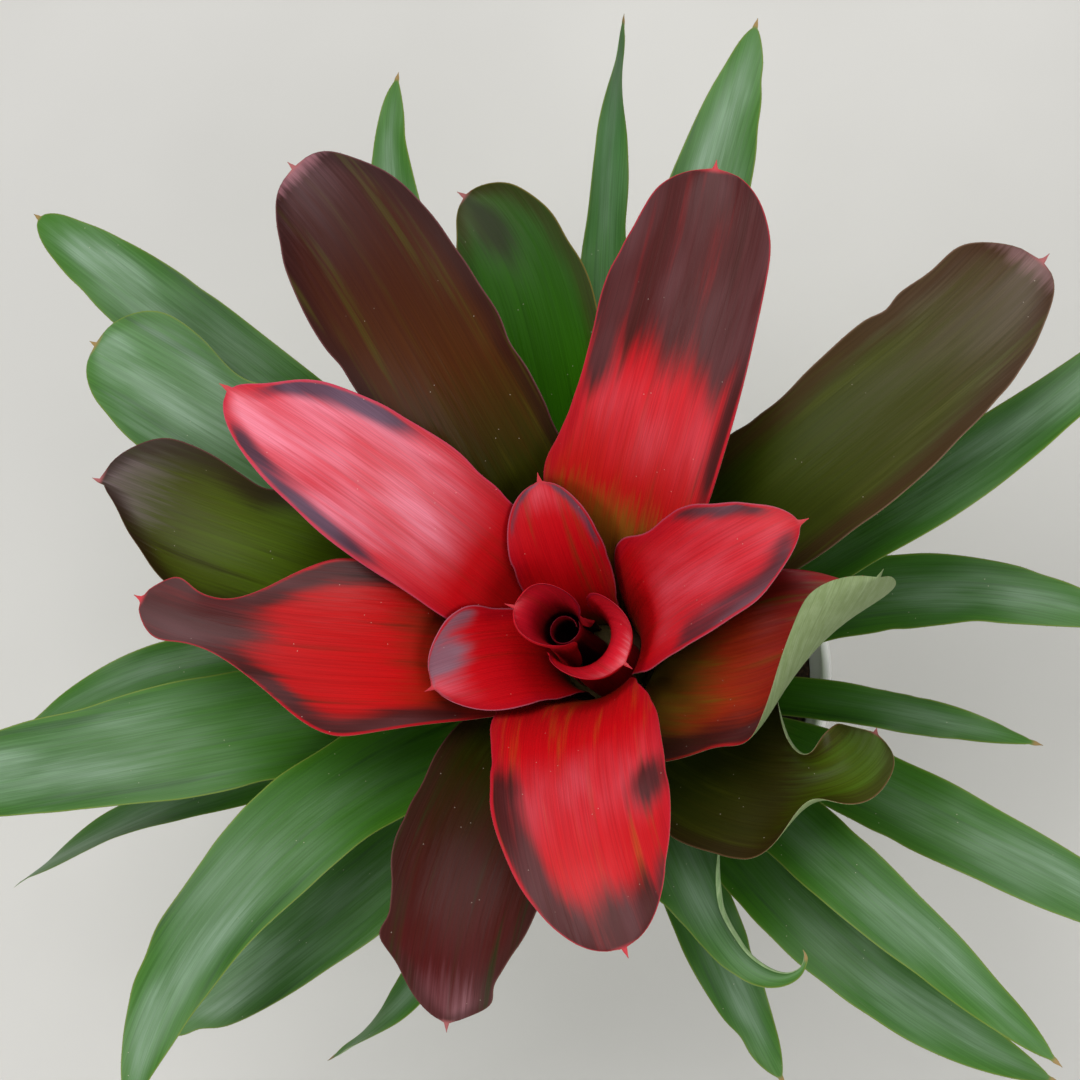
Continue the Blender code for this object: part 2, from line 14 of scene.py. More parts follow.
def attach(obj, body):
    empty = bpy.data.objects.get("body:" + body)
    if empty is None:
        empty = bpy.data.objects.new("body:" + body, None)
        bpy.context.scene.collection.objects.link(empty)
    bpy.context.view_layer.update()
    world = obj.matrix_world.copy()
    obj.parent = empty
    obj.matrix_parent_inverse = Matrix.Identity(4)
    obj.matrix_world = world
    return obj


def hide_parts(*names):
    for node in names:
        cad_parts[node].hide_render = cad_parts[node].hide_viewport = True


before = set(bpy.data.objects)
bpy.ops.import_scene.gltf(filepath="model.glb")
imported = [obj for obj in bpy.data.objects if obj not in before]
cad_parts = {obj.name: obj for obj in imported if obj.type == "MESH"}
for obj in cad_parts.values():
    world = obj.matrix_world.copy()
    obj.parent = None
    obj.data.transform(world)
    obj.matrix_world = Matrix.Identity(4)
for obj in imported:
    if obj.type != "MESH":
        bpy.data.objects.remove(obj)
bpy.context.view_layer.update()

MM = 0.001
DM = 0.1
UP = np.array([0, 0, 1.0])

# Pot and potting mix
RIM_RADIUS = 76 * MM
RIM_INNER_RADIUS = 72.8 * MM
RIM_BAND = 12.5 * MM
POT_HEIGHT = 125 * MM
POT_TOP_RADIUS = 71 * MM
POT_BASE_RADIUS = 52 * MM
POT_WALL = 1.9 * MM
POT_FLOOR = 2.4 * MM
POT_CORNER = 3 * MM
RIM_LEDGE = 3 * MM
LEDGE_RISE = 1.6 * MM
BAND_ROUND = 0.8 * MM
BAND_EASE = 0.4 * MM
WALL_ROWS = 12
FOOT_ROUND = 1.5 * MM
FOOT_RING = 6 * MM
BASE_HOLLOW = 0.5 * MM
DUST_HEIGHT = 30 * MM
DRAIN_HOLES = 6
DRAIN_CIRCLE = 36 * MM
DRAIN_RADIUS = 5 * MM
DRAIN_STEPS = 40
POT_STEPS = 160
SOIL_MIDDLE = 99.2 * MM
SOIL_EDGE = 106 * MM
SOIL_FLAT_SHARE = 0.62
SOIL_GAP = 0.5 * MM
SOIL_RINGS = 90
SOIL_STEPS = 260
SOIL_SEED = 11
# size of the lumps and their height in mm, and how many waves make them
LUMPS = ((26, 0.9, 6), (9, 0.55, 10), (3.5, 0.35, 14))
CHIPS = 420
CHIP_SIZES = (2.0 * MM, 7.0 * MM)
CHIP_SIDES = 8
# reach and height of a chip's rings of corners, as shares of its half size
CHIP_LEVELS = np.array([(0.62, 1.0), (1.0, 0.45), (1.0, -0.45), (0.62, -1.0)])
CHIP_TILT = 0.6
CHIP_RISE = 0.4 * MM
CHIP_MARGIN = 4 * MM
FIBRES = 130
FIBRE_LENGTHS = (8 * MM, 26 * MM)
FIBRE_RADII = (0.1 * MM, 0.28 * MM)
FIBRE_ROWS = 12
FIBRE_RISE = 1 * MM
FIBRE_MARGIN = 3 * MM

# Rosette: where the plant stands and how it leans, then the rings that its leaves stand on
ROSETTE_PLACE = np.array([-5 * MM, 3 * MM, 108 * MM])
LEAN_EAST = math.radians(-3.5)
LEAN_NORTH = math.radians(2.5)
FIRST_RING_RADIUS = 8.5 * MM
FIRST_RING_HEIGHT = 24 * MM
RING_STEP = 2.7 * MM
RING_DROP = 2.2 * MM
MOST_CLASP = 80
LONE_CLASP = 150
CLASP_GAP = 1.2 * MM
WIDEST_FOOT = 0.85
MOST_CURL = 1.4

# Leaves
BLADE = 0.8 * MM
EDGE_BLADE = 0.22
MUCRO = 3.5 * MM
MUCRO_ROOT = 0.9 * MM
MUCRO_END = 0.12 * MM
FINE = 240
ACROSS = 40
BLADE_ROWS = 120
BLADE_COLUMNS = 26
WAVE_LAG = 1.9
DENTS = 16
LEAF_SEED = 5

# Marginal teeth, whose sizes are shares of the length and of the root
TOOTH_STEP = 3.1 * MM
TOOTH_LENGTH = 0.5 * MM
TOOTH_ROOT = 0.42 * MM
TOOTH_THICK = 0.18 * MM
TOOTH_SINK = 0.25 * MM
TOOTH_HOOK = 0.7
TOOTH_SIZES = (0.275, 0.575)
TOOTH_FACES = ((0, 1, 2), (0, 3, 1), (1, 3, 2), (2, 3, 0))

# Leaf finish: how often each pattern repeats in a decimetre across and along the blade, then its relief
STREAK_RATES = (60, 2.4, 1)
BROAD_RATES = (16, 0.9, 1)
VEIN_RATES = (230, 1.2, 1)
CLOUD_RATES = (6, 1.7, 1)
SCURF_RATES = (60, 14, 1)
SWELL_RATES = (22, 3, 1)
SPECK_RATE = 42.0
SPECK_COVER = 0.45
PIGMENT_COVER = 0.94
TIP_FADE = 0.03
LEAF_ROUGH = 0.34
VEIN_RELIEF = 0.10 * MM
SWELL_RELIEF = 0.8 * MM
SCURF_RELIEF = 0.08 * MM

# Rolled heart leaf
TUBE_FOOT = 26 * MM
TUBE_LENGTH = 44 * MM
TUBE_RADIUS = 4.4 * MM
TUBE_OVERLAP = 1.3 * MM
TUBE_TURN = 190
TUBE_LEAN = 3.6 * MM
TUBE_LEAN_COMPASS = math.radians(163)
TUBE_BACK = 200
TUBE_POINT = 6 * MM
TUBE_ROWS = 60
TUBE_COLUMNS = 100
MOUTH_NOTCH = 0.04
MOUTH_SLANT = 0.03
MOUTH_LOW_SIDE = 150

# Ways that the leaves are cut, as in the solids
HEART = dict(grown=0.75, widest=0.8, tip=0.9)
RED = dict(grown=0.5, widest=0.60, tip=0.75)
BRONZE = dict(grown=0.55, widest=0.64, tip=0.8)
GREEN = dict(grown=0.4, widest=0.5, tip=0.45, channel=18)

# name, ring, compass (degrees from east, northward), length and width in mm, slope at foot, middle and tip in
# degrees, and what sets the leaf apart. "lobes" are bulges and hollows of one margin: side (1 is left), place
# along the leaf, spread, and height in mm.
LEAVES = [
    ("heart_leaf_w", 1, 163, 72, 40, (89, 91, 84), HEART, dict(channel=149, tip_channel=-78, hook=-58)),
    ("heart_leaf_se", 2, 324, 73, 48, (94, 104, 44), HEART, dict(channel=112, tip_channel=-44, hook=-52)),
    ("inner_leaf_n", 2, 97, 93, 36, (88.5, 78, 34), RED,
     dict(lobes=((-1, 0.45, 0.2, -1.5), (1, 0.45, 0.2, -0.5)))),
    ("inner_leaf_sw", 2, 209, 92, 42, (88.5, 78, 26), RED,
     dict(channel=34, lobes=((-1, 0.78, 0.2, 4), (1, 0.5, 0.2, -3)))),
    ("red_leaf_e", 3, 5, 155, 44, (87.5, 69, 18), RED,
     dict(sweep=14, tip=0.6, lobes=((1, 0.35, 0.14, 9), (1, 0.7, 0.12, 2.5), (-1, 0.86, 0.09, 3)))),
    ("red_leaf_nw", 3, 144, 186, 47, (87, 54, 12), RED,
     dict(sweep=6, late=4, lobes=((-1, 0.62, 0.15, 3), (-1, 0.94, 0.06, -5), (1, 0.7, 0.2, 2)))),
    ("red_leaf_s", 3, 280, 180, 61, (88, 60, -5), RED,
     dict(sweep=12, grown=0.6, lobes=((1, 0.78, 0.12, 1.5), (-1, 0.35, 0.14, 8), (-1, 0.5, 0.12, -2)))),
    ("red_leaf_n", 4, 57, 210, 61, (86, 50, 5), RED,
     dict(sweep=23, late=3,
          lobes=((1, 0.62, 0.12, -4), (1, 0.38, 0.1, 4), (-1, 0.9, 0.09, 3.5), (1, 0.95, 0.04, 2)))),
    ("red_leaf_w", 4, 190, 187, 58, (86, 48, -5), RED,
     dict(sweep=-40, late=3, slim=(0.62, 0.86, 0.6),
          lobes=((1, 0.62, 0.11, 6), (1, 0.93, 0.045, 4), (-1, 0.93, 0.045, 6)))),
    ("red_leaf_se", 4, 329, 182, 68, (82, 38, 36), RED,
     dict(sweep=84, twist=-110, twist_from=0.6, roll_right=40,
          lobes=((-1, 0.58, 0.13, -8), (-1, 0.8, 0.1, -8)))),
    ("bronze_leaf_nw", 5, 114.5, 222, 60, (84, 44, 0), BRONZE,
     dict(sweep=22, late=5, lobes=((1, 0.52, 0.13, -5), (-1, 0.93, 0.04, -1.5)))),
    ("bronze_leaf_s", 5, 252, 173, 58, (84, 44, -25), BRONZE,
     dict(sweep=12, late=3, tip=0.5, lobes=((1, 0.93, 0.03, 4), (-1, 0.84, 0.03, 4)))),
    ("bronze_leaf_ne", 5, 25, 236, 56, (77, 31, 5), BRONZE,
     dict(sweep=22, late=4,
          lobes=((1, 0.58, 0.12, -4), (1, 0.92, 0.06, 5), (-1, 0.62, 0.15, 2.5), (-1, 0.93, 0.05, -2)))),
    ("bronze_leaf_w", 6, 166, 198, 56, (80, 38, -5), BRONZE,
     dict(sweep=-12, late=3, roll_left=50,
          lobes=((-1, 0.7, 0.1, -9), (-1, 0.9, 0.05, 2), (1, 0.94, 0.07, -10), (1, 0.76, 0.08, 6)))),
    ("bronze_leaf_se", 6, 311, 167, 58, (78, 31, 8), BRONZE,
     dict(sweep=114, late=2.8, hook=60, pinch=(0.79, 80, 0.06), slim=(0.68, 0.8, 0.5), grown=0.45,
          widest=0.86, tip=0.9)),
    ("bronze_leaf_n", 7, 93, 178, 48, (76, 36, 0), BRONZE,
     dict(sweep=55, late=5, lobes=((1, 0.93, 0.06, -2), (-1, 0.97, 0.03, -2)))),
    ("green_leaf_sse_hooked", 8, 296, 164, 42, (74, 30, -12), GREEN,
     dict(sweep=190, late=12, slim=(0.55, 0.8, 0.45), roll_left=140, roll_from=0.5, roll_to=0.75, tip=0.3,
          channel=25)),
    ("green_leaf_ene", 8, 10, 262, 25, (72, 22, -10), GREEN, dict(sweep=44)),
    ("green_leaf_ssw", 8, 215, 240, 38, (72, 22, -20), GREEN, dict(sweep=40)),
    ("green_leaf_nw", 8, 148, 214, 54, (72, 24, -10), BRONZE,
     dict(wave=(2.5, 2.2, 0.1), lobes=((-1, 0.72, 0.09, -10), (-1, 0.9, 0.05, 2)))),
    ("green_leaf_nne", 9, 69, 228, 36, (66, 20, -10), GREEN, dict(sweep=8)),
    ("green_leaf_wsw", 9, 198, 265, 42, (66, 18, -20), GREEN, dict(sweep=-18)),
    ("green_leaf_se", 9, 317, 220, 25, (66, 16, -20), GREEN, {}),
    ("green_leaf_wnw", 10, 141, 258, 32, (60, 16, -15), GREEN, dict(widest=0.6, tip=0.65)),
    ("green_leaf_sw_low", 10, 229, 195, 40, (60, 12, -25), GREEN, dict(sweep=-25)),
    ("green_leaf_e", 10, 8, 183, 27, (60, 14, -15), GREEN, dict(sweep=-32)),
    ("green_leaf_n_edgewise", 10, 85, 220, 18, (60, 16, -10), GREEN, dict(twist=70)),
    ("green_leaf_ese", 11, 331, 222, 27, (54, 10, -15), GREEN, {}),
    ("green_leaf_nnw", 11, 118, 219, 24, (54, 10, -15), GREEN, dict(sweep=-34)),
    ("green_leaf_w_thin", 11, 177, 208, 18, (54, 12, -25), GREEN, dict(sweep=38)),
    ("green_leaf_sse", 11, 306, 206, 28, (54, 8, -20), GREEN, dict(sweep=34)),
    ("green_leaf_e_low", 12, 347, 131, 15, (50, 6, -25), GREEN, {}),
    ("green_leaf_wsw_twisted", 12, 200, 218, 24, (55, 14, -38), GREEN, dict(twist=60)),
    ("green_leaf_ssw_curled", 12, 247, 154, 18, (50, 6, -35), GREEN, dict(sweep=-48, twist=50)),
    ("green_leaf_w_low", 12, 160, 186, 16, (60, 20, -48), GREEN, {}),
    ("green_leaf_s_low", 12, 292, 137, 24, (50, 6, -35), GREEN, dict(sweep=3)),
]

# Leaf looks. "along" runs from foot to tip as (share of the length, colour). "side" tints a strip along both
# margins (colour, width in mm, amount). "dark" is the blackish pigment, and "wax_and_sheen_dark" the same
# under wax and painted sheen. It gathers in "bands" (side, from, to, width in mm, where side is 1 left, -1
# right, 0 both), from "tip_dark" (from, to) onwards, where 2 lies past the tip, and in "spots" (s, v, size
# along, size across).
# "streaks" are lengthwise lines (colour, amount), "bloom" is the pale wax with painted sheen (colour, from,
# to, amount), which on the greens is almost all painted sheen, and "tip_tint" is the colour of the tip
# (colour, from, amount). "rim" is the line of the margin, "mucro" the pointed tip, "speck" the pale dots,
# "under" the underside and "scurf" its scales. "ripple" is the height in mm and the number of the margin's
# waves, "dents" the depth of its dents as a share of the half width, and "shine" the gloss.
RED_LOOK = dict(
    along=[(0.0, (120, 96, 30)), (0.2, (164, 22, 18)), (0.4, (192, 10, 20)), (1.0, (196, 14, 26))],
    side=((170, 14, 34), 6, 0.5),
    dark=(54, 22, 20),
    bands=[],
    wax_and_sheen_dark=(84, 56, 58),
    tip_dark=(2, 3),
    spots=[],
    streaks=((132, 34, 14), 0.35),
    wax_and_sheen=((226, 112, 130), 0.3, 1.0, 0.0),
    tip_tint=((120, 60, 60), 0.98, 0.4),
    rim=(168, 26, 48),
    mucro=(186, 52, 60),
    speck=(232, 214, 196),
    under=(128, 132, 84),
    scurf=(176, 190, 150),
    ripple=(0.8, 2.6),
    dents=0.02,
    shine=0.2,
)
BRONZE_LOOK = dict(
    RED_LOOK,
    along=[(0.0, (64, 76, 12)), (0.35, (50, 48, 8)), (0.65, (56, 30, 8)), (1.0, (54, 22, 16))],
    side=((52, 24, 18), 9, 0.6),
    dark=(38, 18, 14),
    streaks=((78, 84, 14), 0.3),
    wax_and_sheen=((118, 92, 98), 0.86, 1.0, 0.35),
    rim=(92, 52, 48),
    under=(124, 140, 92),
    mucro=(160, 92, 92),
    dents=0.035,
    shine=0.1,
)
GREEN_LOOK = dict(
    RED_LOOK,
    along=[(0.0, (112, 134, 50)), (0.25, (54, 104, 14)), (0.7, (44, 92, 16)), (1.0, (60, 112, 24))],
    side=((66, 112, 22), 3, 0.4),
    dark=(40, 60, 18),
    streaks=((28, 68, 8), 0.7),
    # Painted sheen: the pale grey-green bloom stands for light reflected off the glossy green blades.
    wax_and_sheen=((144, 168, 146), 0.2, 1.0, 0.8),
    rim=(112, 130, 48),
    under=(122, 150, 100),
    mucro=(150, 124, 76),
    ripple=(1.3, 3.4),
    dents=0.04,
)
LOOKS = {
    # The heart's tube and its two cup leaves run near-black from their feet: painted shade deep in the well
    # of the cup, turning red towards the mouth.
    "heart_tube": dict(
        RED_LOOK,
        along=[(0.0, (30, 6, 8)), (0.74, (44, 6, 10)), (1.0, (150, 12, 30))],
        rim=(120, 22, 40), under=(70, 14, 22), streaks=((60, 20, 16), 0.2),
    ),
    "heart_leaf_w": dict(
        RED_LOOK,
        along=[(0.0, (24, 6, 8)), (0.5, (48, 6, 12)), (0.74, (150, 10, 26)), (1.0, (196, 22, 42))],
        side=((120, 20, 40), 1.6, 0.8), under=(198, 20, 38), scurf=(206, 44, 58), rim=(110, 24, 42),
        wax_and_sheen=((230, 140, 156), 0.92, 1.0, 0.4),
    ),
    "heart_leaf_se": dict(
        RED_LOOK,
        along=[(0.0, (50, 8, 10)), (0.5, (110, 8, 18)), (0.72, (190, 14, 30)), (1.0, (206, 34, 52))],
        side=((128, 22, 44), 1.6, 0.8), under=(206, 22, 40), scurf=(214, 46, 60), rim=(150, 26, 48),
        wax_and_sheen=((236, 170, 180), 0.88, 1.0, 0.6),
    ),
    # The pale grey-lilac wax_and_sheen_dark of the two inner leaves is partly painted sheen over their dark
    # bands.
    "inner_leaf_n": dict(
        RED_LOOK,
        bands=[(-1, 0.6, 1.0, 5), (1, 0.7, 1.02, 4)], wax_and_sheen_dark=(132, 104, 124), dark=(96, 60, 74),
        streaks=((124, 60, 24), 0.6),
        wax_and_sheen=((228, 116, 132), 0.8, 1.0, 0.6), under=(110, 20, 26), scurf=(120, 40, 40),
        rim=(158, 76, 96),
    ),
    "inner_leaf_sw": dict(
        RED_LOOK,
        bands=[(-1, 0.62, 1.02, 10), (0, 0.88, 1.02, 5)], wax_and_sheen_dark=(156, 136, 152), dark=(128, 92, 106),
        spots=[(0.88, -0.5, 0.12, 0.5)],
        wax_and_sheen=((226, 120, 140), 0.76, 1.0, 0.5), under=(110, 20, 26), scurf=(120, 40, 40),
        rim=(166, 96, 116),
    ),
    "red_leaf_e": dict(
        RED_LOOK,
        bands=[(-1, 0.5, 1.0, 15), (1, 0.6, 0.97, 7)], wax_and_sheen_dark=(124, 104, 118), dark=(78, 40, 46),
        wax_and_sheen=((224, 96, 112), 0.4, 0.9, 0.5),
        rim=(168, 72, 96),
    ),
    # Partly painted reflection: the pink bloom over the middle and the grey-lilac wax_and_sheen_dark stand in
    # part for sky reflected off the glossy blade.
    "red_leaf_nw": dict(
        RED_LOOK,
        bands=[(1, 0.52, 0.98, 8), (-1, 0.6, 0.98, 9)], wax_and_sheen_dark=(106, 92, 112), dark=(62, 44, 58),
        wax_and_sheen=((228, 124, 142), 0.4, 0.98, 1.15), tip_tint=((196, 36, 56), 0.955, 0.9),
        rim=(184, 54, 88),
    ),
    "red_leaf_n": dict(
        RED_LOOK,
        along=[(0.0, (130, 110, 30)), (0.34, (150, 84, 22)), (0.42, (190, 24, 20)), (0.6, (200, 12, 24)),
               (1.0, (184, 14, 22))],
        bands=[(1, 0.52, 1.0, 13), (-1, 0.42, 1.0, 9)],
        tip_dark=(0.56, 0.76),
        wax_and_sheen=((226, 110, 124), 0.42, 0.56, 0.35),
        streaks=((122, 62, 16), 0.4), tip_tint=((170, 44, 50), 0.975, 0.7),
        rim=(176, 30, 50),
    ),
    "red_leaf_w": dict(
        RED_LOOK,
        along=[(0.0, (110, 90, 30)), (0.36, (120, 40, 14)), (0.52, (188, 10, 12)), (1.0, (150, 14, 18))],
        bands=[(-1, 0.3, 1.0, 13), (1, 0.3, 1.0, 11)],
        tip_dark=(0.64, 0.84),
        streaks=((92, 36, 12), 0.8),
        rim=(160, 18, 34),
    ),
    "red_leaf_s": dict(
        RED_LOOK,
        along=[(0.0, (110, 84, 26)), (0.3, (168, 14, 16)), (0.5, (198, 10, 20)), (1.0, (188, 18, 26))],
        bands=[(-1, 0.5, 1.0, 14), (1, 0.84, 1.0, 10)],
        tip_dark=(0.8, 0.95),
        spots=[(0.7, 0.8, 0.06, 0.3)],
        streaks=((158, 92, 20), 0.4),
        wax_and_sheen=((226, 116, 132), 0.5, 0.66, 0.35),
        rim=(176, 30, 52),
    ),
    "red_leaf_se": dict(
        RED_LOOK,
        along=[(0.0, (90, 90, 20)), (0.4, (104, 62, 14)), (0.55, (146, 40, 12)), (0.75, (120, 20, 16)),
               (1.0, (120, 130, 84))],
        bands=[(-1, 0.3, 0.82, 18), (1, 0.3, 0.7, 12)],
        streaks=((104, 82, 14), 0.8), scurf=(150, 164, 124),
        rim=(150, 24, 40),
        under=(116, 132, 86),
    ),
    # The pale mauve-pink tip, from bloom and tip_tint, is partly painted sheen.
    "bronze_leaf_nw": dict(
        BRONZE_LOOK,
        along=[(0.0, (64, 76, 12)), (0.4, (48, 46, 4)), (0.6, (70, 34, 6)), (0.85, (56, 18, 8)),
               (1.0, (62, 28, 26))],
        side=((44, 14, 12), 8, 0.7), tip_tint=((156, 104, 112), 0.955, 0.8),
        rim=(104, 60, 62),
    ),
    "bronze_leaf_s": dict(
        BRONZE_LOOK,
        along=[(0.0, (54, 68, 12)), (0.45, (36, 34, 2)), (0.66, (58, 16, 4)), (0.88, (70, 10, 8)),
               (1.0, (90, 40, 42))],
        streaks=((36, 38, 4), 0.9), wax_and_sheen=((150, 104, 110), 0.86, 1.0, 0.7),
        tip_tint=((168, 120, 122), 0.97, 0.5),
    ),
    # The grey bloom over the middle is partly painted sheen.
    "bronze_leaf_ne": dict(
        BRONZE_LOOK,
        along=[(0.0, (72, 84, 14)), (0.4, (50, 62, 8)), (0.75, (56, 58, 8)), (1.0, (70, 50, 30))],
        side=((62, 36, 22), 11, 0.75), wax_and_sheen=((126, 116, 106), 0.55, 1.0, 0.25),
        streaks=((70, 76, 18), 0.5), tip_tint=((138, 104, 104), 0.95, 0.6),
        rim=(112, 84, 66),
    ),
    "bronze_leaf_w": dict(
        BRONZE_LOOK,
        along=[(0.0, (54, 68, 12)), (0.42, (34, 38, 4)), (0.62, (70, 90, 6)), (0.84, (58, 62, 8)),
               (1.0, (98, 84, 86))],
        side=((40, 24, 10), 11, 0.85), streaks=((44, 44, 6), 0.7),
    ),
    "bronze_leaf_se": dict(
        BRONZE_LOOK,
        along=[(0.0, (44, 58, 12)), (0.45, (40, 48, 6)), (0.7, (50, 46, 6)), (0.82, (64, 80, 12)),
               (1.0, (72, 104, 26))],
        side=((50, 30, 14), 8, 0.6),
        rim=(104, 74, 48),
    ),
    "green_leaf_n_edgewise": dict(
        GREEN_LOOK,
        along=[(0.0, (112, 134, 50)), (0.25, (66, 112, 40)), (0.8, (62, 112, 52)), (1.0, (50, 96, 36))],
        under=(70, 120, 62), scurf=(112, 150, 104),
    ),
    "bronze_leaf_n": dict(
        BRONZE_LOOK,
        along=[(0.0, (60, 110, 14)), (0.5, (48, 104, 4)), (0.85, (40, 86, 6)), (1.0, (54, 72, 18))],
        side=((52, 48, 12), 9, 0.8), dark=(34, 42, 8), wax_and_sheen_dark=(52, 54, 24),
        streaks=((34, 74, 4), 0.6), spots=[(0.9, 0.1, 0.1, 0.5)],
        wax_and_sheen=((120, 140, 110), 0.5, 1.0, 0.12),
        rim=(124, 108, 44),
    ),
}

# Studio: camera as the photograph was taken, soft light, and the pale floor
FRAME_SIDE = 1080
TILT = math.radians(15)
TILT_WAY = (0.6, -0.8)
RIM_PIXEL = (620, 672)
METRES_PER_PIXEL = 0.364 * MM
EYE_DISTANCE = 1.0
SENSOR = 36
FLOOR_HALF = 3.0
FLOOR_DROP = 0.1 * MM
SKY_COLOUR = (0.95, 0.97, 1.0, 1)
SKY_STRENGTH = 0.28
LIT_POINT = (0, 0, 0.12)
LIGHT_DISTANCE = 1.8

# name, compass and height in degrees, side in metres, power in watts
LIGHTS = [
    ("wide_top_light", 110, 66, 1.4, 22),
    ("south_east_light", -35, 38, 1.2, 15),
    ("west_light", 200, 45, 0.9, 9),
]


def tone(colour):
    """An sRGB colour of 0 to 255 as the linear colour that a shader takes."""
    share = np.array(colour, float) / 255
    linear = np.where(share <= 0.04045, share / 12.92, ((share + 0.055) / 1.055) ** 2.4)
    return (*linear.tolist(), 1.0)


def smooth(start, end, x):
    """0 before start, 1 after end, and an S-shaped rise between them."""
    t = np.clip((x - start) / (end - start), 0, 1)
    return t * t * (3 - 2 * t)


def read_at(places, known, rows):
    """The rows that lie at some places on a line, from the rows at the known places."""
    return np.stack([np.interp(places, known, column) for column in rows.T], 1)


def unit(vectors):
    """Vectors along the last axis, made one long."""
    return vectors / np.maximum(np.linalg.norm(vectors, axis=-1, keepdims=True), 1e-12)


# Materials

class Paint:
    """One material. Each method adds nodes and gives their output, and takes numbers or outputs."""

    def __init__(self, name):
        self.material = bpy.data.materials.new(name)
        self.material.use_nodes = True
        self.tree = self.material.node_tree
        self.shader = self.tree.nodes["Principled BSDF"]

    def put(self, socket, value):
        """Links an output to the socket, or sets the socket to a number or a colour."""
        if isinstance(value, bpy.types.NodeSocket):
            self.tree.links.new(value, socket)
        else:
            socket.default_value = value

    def add(self, kind, values, out=0, **settings):
        node = self.tree.nodes.new(kind)
        for key, value in settings.items():
            setattr(node, key, value)
        for key, value in values.items():
            self.put(node.inputs[key], value)
        return node.outputs[out]

    def plus(self, first, second):
        return self.add("ShaderNodeMath", {0: first, 1: second}, operation="ADD")

    def times(self, first, second):
        return self.add("ShaderNodeMath", {0: first, 1: second}, operation="MULTIPLY")

    def mix(self, share, first, second, blend="MIX"):
        """The first colour with a share of the second laid over it."""
        values = {0: share, 6: first, 7: second}
        return self.add("ShaderNodeMix", values, 2, data_type="RGBA", blend_type=blend)

    def span(self, value, low, high, to_low=0.0, to_high=1.0):
        """An S-shaped rise from to_low to to_high while the value goes from low to high."""
        values = {"Value": value, "From Min": low, "From Max": high, "To Min": to_low, "To Max": to_high}
        return self.add("ShaderNodeMapRange", values, interpolation_type="SMOOTHSTEP")

    def ramp(self, value, stops):
        """A colour that runs through the stops (place, colour) as the value goes from 0 to 1."""
        node = self.tree.nodes.new("ShaderNodeValToRGB")
        self.put(node.inputs[0], value)
        points = node.color_ramp.elements
        while len(points) < len(stops):
            points.new(0.5)
        for point, (place, colour) in zip(points, stops):
            point.position = place
            point.color = tone(colour)
        return node.outputs[0]

    def position(self):
        """Object coordinates, in metres."""
        return self.add("ShaderNodeTexCoord", {}, 3)

    def noise(self, vector, scale, detail=3.0, roughness=0.5):
        """Soft noise of 0 to 1, most of it near a half."""
        values = {"Vector": vector, "Scale": scale, "Detail": detail, "Roughness": roughness}
        return self.add("ShaderNodeTexNoise", values)

    def drawn_out(self, vector, rates, detail=3.0, roughness=0.5):
        """Noise with its own rate on each axis."""
        stretched = self.add("ShaderNodeVectorMath", {0: vector, 1: rates}, operation="MULTIPLY")
        return self.noise(stretched, 1.0, detail, roughness)

    def attribute(self, name):
        """A value that put_attribute gave to the piece's points."""
        return self.add("ShaderNodeAttribute", {}, 2, attribute_name=name)

    def bump(self, height, distance, strength, below=None):
        """Relief from a height of 0 to 1 that stands for the distance, on top of the relief below it."""
        values = {"Height": height, "Distance": distance, "Strength": strength}
        if below is not None:
            values["Normal"] = below
        return self.add("ShaderNodeBump", values)

    def finish(self, **sockets):
        """Puts values or outputs on the shader, whose inputs are named with spaces for underscores."""
        for name, value in sockets.items():
            self.put(self.shader.inputs[name.replace("_", " ")], value)
        return self.material


